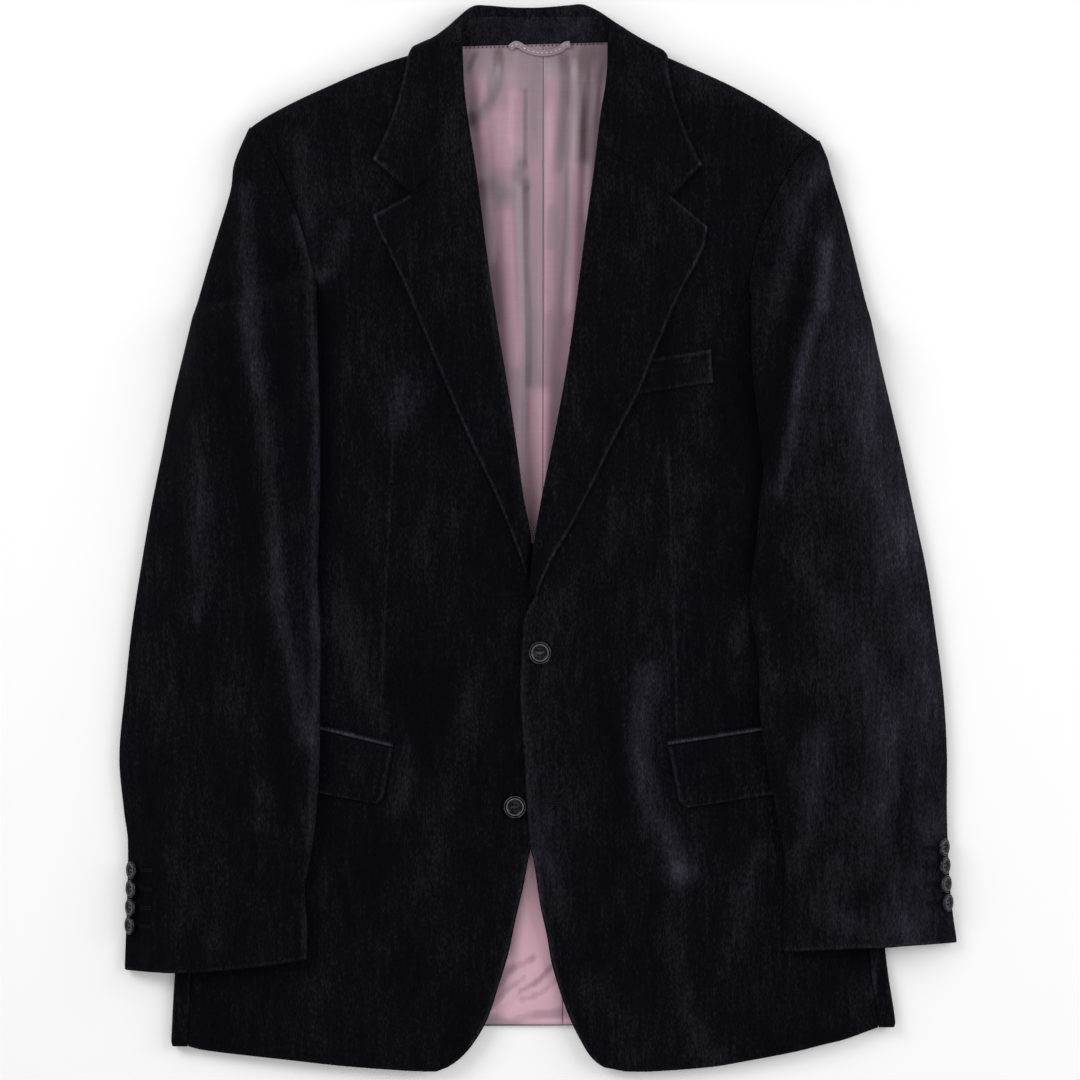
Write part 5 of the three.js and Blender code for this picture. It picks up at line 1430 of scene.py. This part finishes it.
def top_sleeve_points(side, s, u, creases=0.0):
    """The top sleeve: an arch between the edges over what carries it, plus folds, eased to the
    fore part's height at the armhole."""
    x, y, width = sleeve_plan(side, s, u)
    edge, round_off = sleeve_edge(s, u, width)
    low = support(side, x, y)
    lean = np.clip((SIDE_SEAM_INSET + LEAN_START - inside_fold(side, x, y)) / SLEEVE_LEAN, 0, 1)
    body = front_height(side, x, np.minimum(y, ARMHOLE_BOTTOM_Y))
    over_body = np.maximum(low, (body + SLEEVE_GAP + pocket_rise(x, y)) * (1 - soften(lean)))
    under = np.where(y > ARMHOLE_BOTTOM_Y, low, over_body)
    base = mix(low, under, soften(edge / BASE_EASE))
    loft = mix(SLEEVE_NEAR(s), SLEEVE_FAR(s), ease(u, *LOFT_SHARES))
    arch = (1 - np.abs(2 * u - 1) ** 3) ** (1 / ARCH_FULLNESS)
    folds = fold_height(SLEEVE_FOLDS, x, y) + creases * crease_height(SLEEVE_CREASES, x, y)
    general = base + round_off + (loft - round_off) * arch + folds * soften(edge / FOLD_EASE)
    seam_y = mix(ARMHOLE_BOTTOM_Y, side.shoulder_y, u)
    head = front_height(side, side.armhole(seam_y), seam_y) + SEAM_GAP
    head = head + SLEEVE_HEAD_RISE * (1 - soften(u / HEAD_WIDTH))
    begin = np.where(u > 0.5, head, mix(low + round_off, head, soften(edge / HEAD_EASE)))
    z = mix(begin, general, soften(s / HEAD_LENGTH)) + np.where(edge < TOUCHING, SEAM_GAP / 2, 0)
    return stack(x, y, z)


SLEEVE_S = np.unique(np.concatenate([
    shares_across(SLEEVE_LENGTH, CELL), np.linspace(0, 0.05, 13),
]).round(6))[:, None]
SLEEVE_U = np.unique(np.concatenate([
    shares_across(SLEEVE_WIDTH, SLEEVE_CELL), np.linspace(0, 0.07, 12), np.linspace(0.93, 1, 12),
]).round(6))[None, :]

for side in (right, left):
    rolls = {"start": (2.6, 0.5), "end": (2.6, 0.5), "top": (2.6, 1.1), "bottom": (4.0, 1.3)}
    rims = {"start": "level", "end": "level", "top": "plumb"}
    under_points = under_sleeve_points(side, SLEEVE_S, SLEEVE_U)
    laid_cloth("under_sleeve_" + side.name, under_points, SLEEVE_CLOTH, (0, 0, -1), velveteen,
               rests_on=["front_" + side.name + "_cloth"], rims=rims, rolls=rolls)
    top_points = top_sleeve_points(side, SLEEVE_S, SLEEVE_U, creases=1.0)
    top_tone = tones_over(SLEEVE_PAINTED_LIGHT, top_points)
    laid_cloth("top_sleeve_" + side.name, top_points, SLEEVE_CLOTH, (0, 0, 1), velveteen,
               rests_on=["under_sleeve_" + side.name + "_cloth"], tone=top_tone, rims=rims, rolls=rolls,
               worn={"bottom": 0.08})


# The buttons, their thread and the buttonholes

BUTTON_PROFILE = [(0, 0), (0.45, 0), (0.84, 0), (0.97, 0.2), (1, 0.45), (0.985, 0.75), (0.93, 0.9),
                  (0.87, 0.84), (0.83, 0.64), (0.79, 0.78), (0.74, 1), (0.68, 0.92), (0.6, 0.66),
                  (0.35, 0.5), (0, 0.44)]
PROFILE_STEPS = 7
BUTTON_SIDES = 44
# The point of the profile that the button's top begins at
DISH_START = 6
# Painted highlights on the rim and the ring, and painted shade in the groove, from the button's middle out
# to the rim, as shares of the radius
RING_PLACES = [0, 0.3, 0.58, 0.68, 0.74, 0.8, 0.84, 0.9, 0.96, 1]
RING_PAINTED_LIGHT = [0.06, 0.0, -0.1, 0.1, 0.42, -0.05, -0.2, 0.02, 0.34, -0.1]
HOLE_SPREAD = 0.2
HOLE_RADIUS = 0.095
HOLE_DEPTH = 0.42
# The thread: its radius, and how far each of a pair of strands lies from the holes' middles
BUTTON_THREAD = 0.2
STRAND_OFFSET = 0.2
# Over the button's height, how high the strands are in the middle and how much they fall at the ends
STRAND_CREST = 0.48
STRAND_FALL = 0.3
STRAND_LIFT = 0.18


def button(name, diameter, height, foot, axis):
    """A sew-through button turned round its axis from a profile: a foot, a rounded rim, a groove, a
    ring and a dish, in which four steep bells sink the holes."""
    radius = diameter / 2
    profile = refine(BUTTON_PROFILE, PROFILE_STEPS)
    angle = np.linspace(0, 2 * np.pi, BUTTON_SIDES, endpoint=False)
    across = profile[:, :1] * radius
    x = across * np.cos(angle)
    y = across * np.sin(angle)
    up = np.repeat(profile[:, 1:] * height, BUTTON_SIDES, axis=1)
    top_face = np.arange(len(profile))[:, None] >= DISH_START * PROFILE_STEPS
    for sign_x in (-1, 1):
        for sign_y in (-1, 1):
            away = np.hypot(x - sign_x * HOLE_SPREAD * radius, y - sign_y * HOLE_SPREAD * radius)
            bell = np.exp(-(away / (HOLE_RADIUS * radius)) ** 4)
            up = up - np.where(top_face, HOLE_DEPTH * height * bell, 0)
    axis = np.asarray(axis, dtype=float) / np.linalg.norm(axis)
    first = np.cross([0, 1, 0], axis)
    first /= np.linalg.norm(first)
    second = np.cross(axis, first)
    points = (np.asarray(foot, dtype=float) + x[..., None] * first + y[..., None] * second
              + up[..., None] * axis)
    # Painted highlights on the rim and ring and painted shade in the groove, on the button's top
    tone = np.where(top_face, np.interp(profile[:, :1], RING_PLACES, RING_PAINTED_LIGHT), 0) + 0 * angle
    faces = grid_faces(len(profile), BUTTON_SIDES, close_columns=True)
    piece = make_piece(name + "_resin", points.reshape(-1, 3), faces, resin, tone.reshape(-1))
    close_and_face_out(piece)
    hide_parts(name)
    along = np.linspace(-1, 1, 9)
    high = height * (STRAND_CREST - STRAND_FALL * np.abs(along) ** 6) + STRAND_LIFT
    strands = []
    for sign_y in (-1, 1):
        for offset in (-STRAND_OFFSET, STRAND_OFFSET):
            place = (np.asarray(foot, dtype=float) + (along * HOLE_SPREAD * radius)[:, None] * first
                     + (sign_y * HOLE_SPREAD * radius + offset) * second + high[:, None] * axis)
            strands.append(tube(place, BUTTON_THREAD, axis, sides=6))
    thread = make_piece(name + "_thread", *joined(strands), black_thread)
    close_and_face_out(thread)


BUTTONHOLE_WIDTH = 2.2
BUTTONHOLE_THREAD = 0.42
SLOT_THREAD = 0.3
# The stitches of a buttonhole: how far they beat up and down, and how fast along its points
STITCH_BEAT = 0.1
STITCH_PHASE = 2.1
STITCH_LIFT = 0.15


def buttonhole(name, line):
    """A worked buttonhole: thread round a narrow slot along a line on the cloth, its height beating
    with the stitches, and a strand along the slot."""
    way = line[-1] - line[0]
    beside = np.cross([0, 0, 1], way / np.linalg.norm(way)) * BUTTONHOLE_WIDTH / 2
    path = np.concatenate([line + beside, line[::-1] - beside])
    path[:, 2] += STITCH_LIFT + STITCH_BEAT * np.sin(np.arange(len(path)) * STITCH_PHASE)
    strands = [tube(path, BUTTONHOLE_THREAD, (0, 0, 1), closed=True),
               tube(line + [0, 0, 0.1], SLOT_THREAD, (0, 0, 1))]
    piece = make_piece(name, *joined(strands), black_thread)
    close_and_face_out(piece)


FRONT_BUTTONS = [(1.6, -88.5, left), (-17.9, -208.3, right)]
FRONT_BUTTONHOLES = [((10.5, -86.0), (20.5, -85.2)), ((7.5, -206.0), (22.0, -205.5))]
for number, (x, y, side) in enumerate(FRONT_BUTTONS, start=1):
    angle = np.linspace(0, 2 * np.pi, 24)
    around = FRONT_BUTTON_DIAMETER / 2 * np.array([[0.6], [1.0]])
    heights = front_height(side, x + around * np.cos(angle), y + around * np.sin(angle))
    button(f"front_button_{number}", FRONT_BUTTON_DIAMETER, FRONT_BUTTON_HEIGHT,
           (x, y, heights.max() + SEAM_GAP), (0, 0, 1))
for number, ends in enumerate(FRONT_BUTTONHOLES, start=1):
    x, y = np.linspace(*ends, 24).T
    buttonhole(f"front_buttonhole_{number}", stack(x, y, front_height(left, x, y)))

CUFF_BUTTON_ROWS = {"right": [-258, -272.5, -287, -301], "left": [-240, -254.3, -268.6, -283]}
CUFF_BUTTON_INSET = 5.6
# A cuff's buttons lean out over its edge, clear of the cloth by the length of their threads
CUFF_BUTTON_LEAN = 1.0
CUFF_BUTTON_SHANK = 1.0
# Steps in from the button and down the sleeve, to find which way the cloth faces
CUFF_STEP_IN = 2
CUFF_STEP_DOWN = 0.004
# Where a cuff's buttonhole starts and ends, from its button's middle
CUFF_BUTTONHOLE = (6.5, 15)
for side in (right, left):
    for number, y in enumerate(CUFF_BUTTON_ROWS[side.name], start=1):
        s = np.array((side.shoulder_y - y) / (side.shoulder_y - side.cuff_outer_y))
        width = sleeve_plan(side, s, np.array(1.0))[2]
        u = 1 - CUFF_BUTTON_INSET / width
        foot = top_sleeve_points(side, s, u)
        across = top_sleeve_points(side, s, u - CUFF_STEP_IN / width) - foot
        along = top_sleeve_points(side, s + CUFF_STEP_DOWN, u) - foot
        normal = np.cross(along, across)
        normal *= np.sign(normal[2]) / np.linalg.norm(normal)
        normal[0] += CUFF_BUTTON_LEAN * np.sign(foot[0])
        normal /= np.linalg.norm(normal)
        button(f"cuff_button_{side.name}_{number}", CUFF_BUTTON_DIAMETER, CUFF_BUTTON_HEIGHT,
               foot + CUFF_BUTTON_SHANK * normal, normal)
        slot = np.linspace(*CUFF_BUTTONHOLE, 20) / width
        buttonhole(f"cuff_buttonhole_{side.name}_{number}", top_sleeve_points(side, s, u - slot)[::-1])


# The floor, the light and the camera

FLOOR_SIZE = 6.0
FLOOR_DROP = 0.0005
CAMERA_HEIGHT = 2.343
CAMERA_X = 0.0016
CAMERA_Y = -0.0012
CAMERA_LENS = 100
CAMERA_SENSOR = 36
STUDIO_STRENGTH = 0.52


def make_floor():
    """A pale paper sweep under the coat, a hair below it."""
    material, tree = new_material("white_paper")
    place = add_node(tree, "ShaderNodeTexCoord").outputs["Object"]
    grain = add_node(tree, "ShaderNodeTexNoise", {"Scale": 1000 / 3, "Detail": 3.0}, {"Vector": place})
    bump = add_node(tree, "ShaderNodeBump", {"Strength": 0.03, "Distance": 0.1 * MM},
                    {"Height": grain.outputs[0]})
    shader = add_node(tree, "ShaderNodeBsdfPrincipled", {"Base Color": colour(0xfafafa), "Roughness": 0.85})
    finish_material(tree, shader, {"Normal": bump.outputs[0]})
    half = FLOOR_SIZE / 2
    mesh = bpy.data.meshes.new("floor")
    corners = [(-half, -half, 0), (half, -half, 0), (half, half, 0), (-half, half, 0)]
    mesh.from_pydata(corners, [], [(0, 1, 2, 3)])
    mesh.materials.append(material)
    floor = bpy.data.objects.new("floor", mesh)
    floor.location.z = -FLOOR_DROP
    bpy.context.scene.collection.objects.link(floor)


def add_softbox(name, place, size, power):
    """A softbox that looks at the coat's middle."""
    light = bpy.data.lights.new(name, "AREA")
    light.shape = "RECTANGLE"
    light.size = size[0]
    light.size_y = size[1]
    light.energy = power
    box = bpy.data.objects.new(name, light)
    box.location = place
    towards = Vector((0, 0, 0)) - box.location
    box.rotation_euler = towards.to_track_quat("-Z", "Y").to_euler()
    bpy.context.scene.collection.objects.link(box)


make_floor()
add_softbox("softbox_top_left", (-1.6, 1.2, 1.5), (1.3, 1.3), 28)
add_softbox("softbox_right", (1.9, 0.5, 1.2), (1.0, 1.8), 22)
add_softbox("softbox_foot", (0.1, -2.1, 1.5), (2.0, 0.9), 9)
world = bpy.data.worlds.new("studio")
world.use_nodes = True
studio = world.node_tree.nodes["Background"].inputs
studio["Color"].default_value = colour(0xffffff)
studio["Strength"].default_value = STUDIO_STRENGTH
bpy.context.scene.world = world
bpy.context.scene.view_settings.view_transform = "Standard"

camera_data = bpy.data.cameras.new("camera")
camera_data.lens = CAMERA_LENS
camera_data.sensor_width = CAMERA_SENSOR
camera = bpy.data.objects.new("camera", camera_data)
camera.location = (CAMERA_X, CAMERA_Y, CAMERA_HEIGHT)
bpy.context.scene.collection.objects.link(camera)
bpy.context.scene.camera = camera
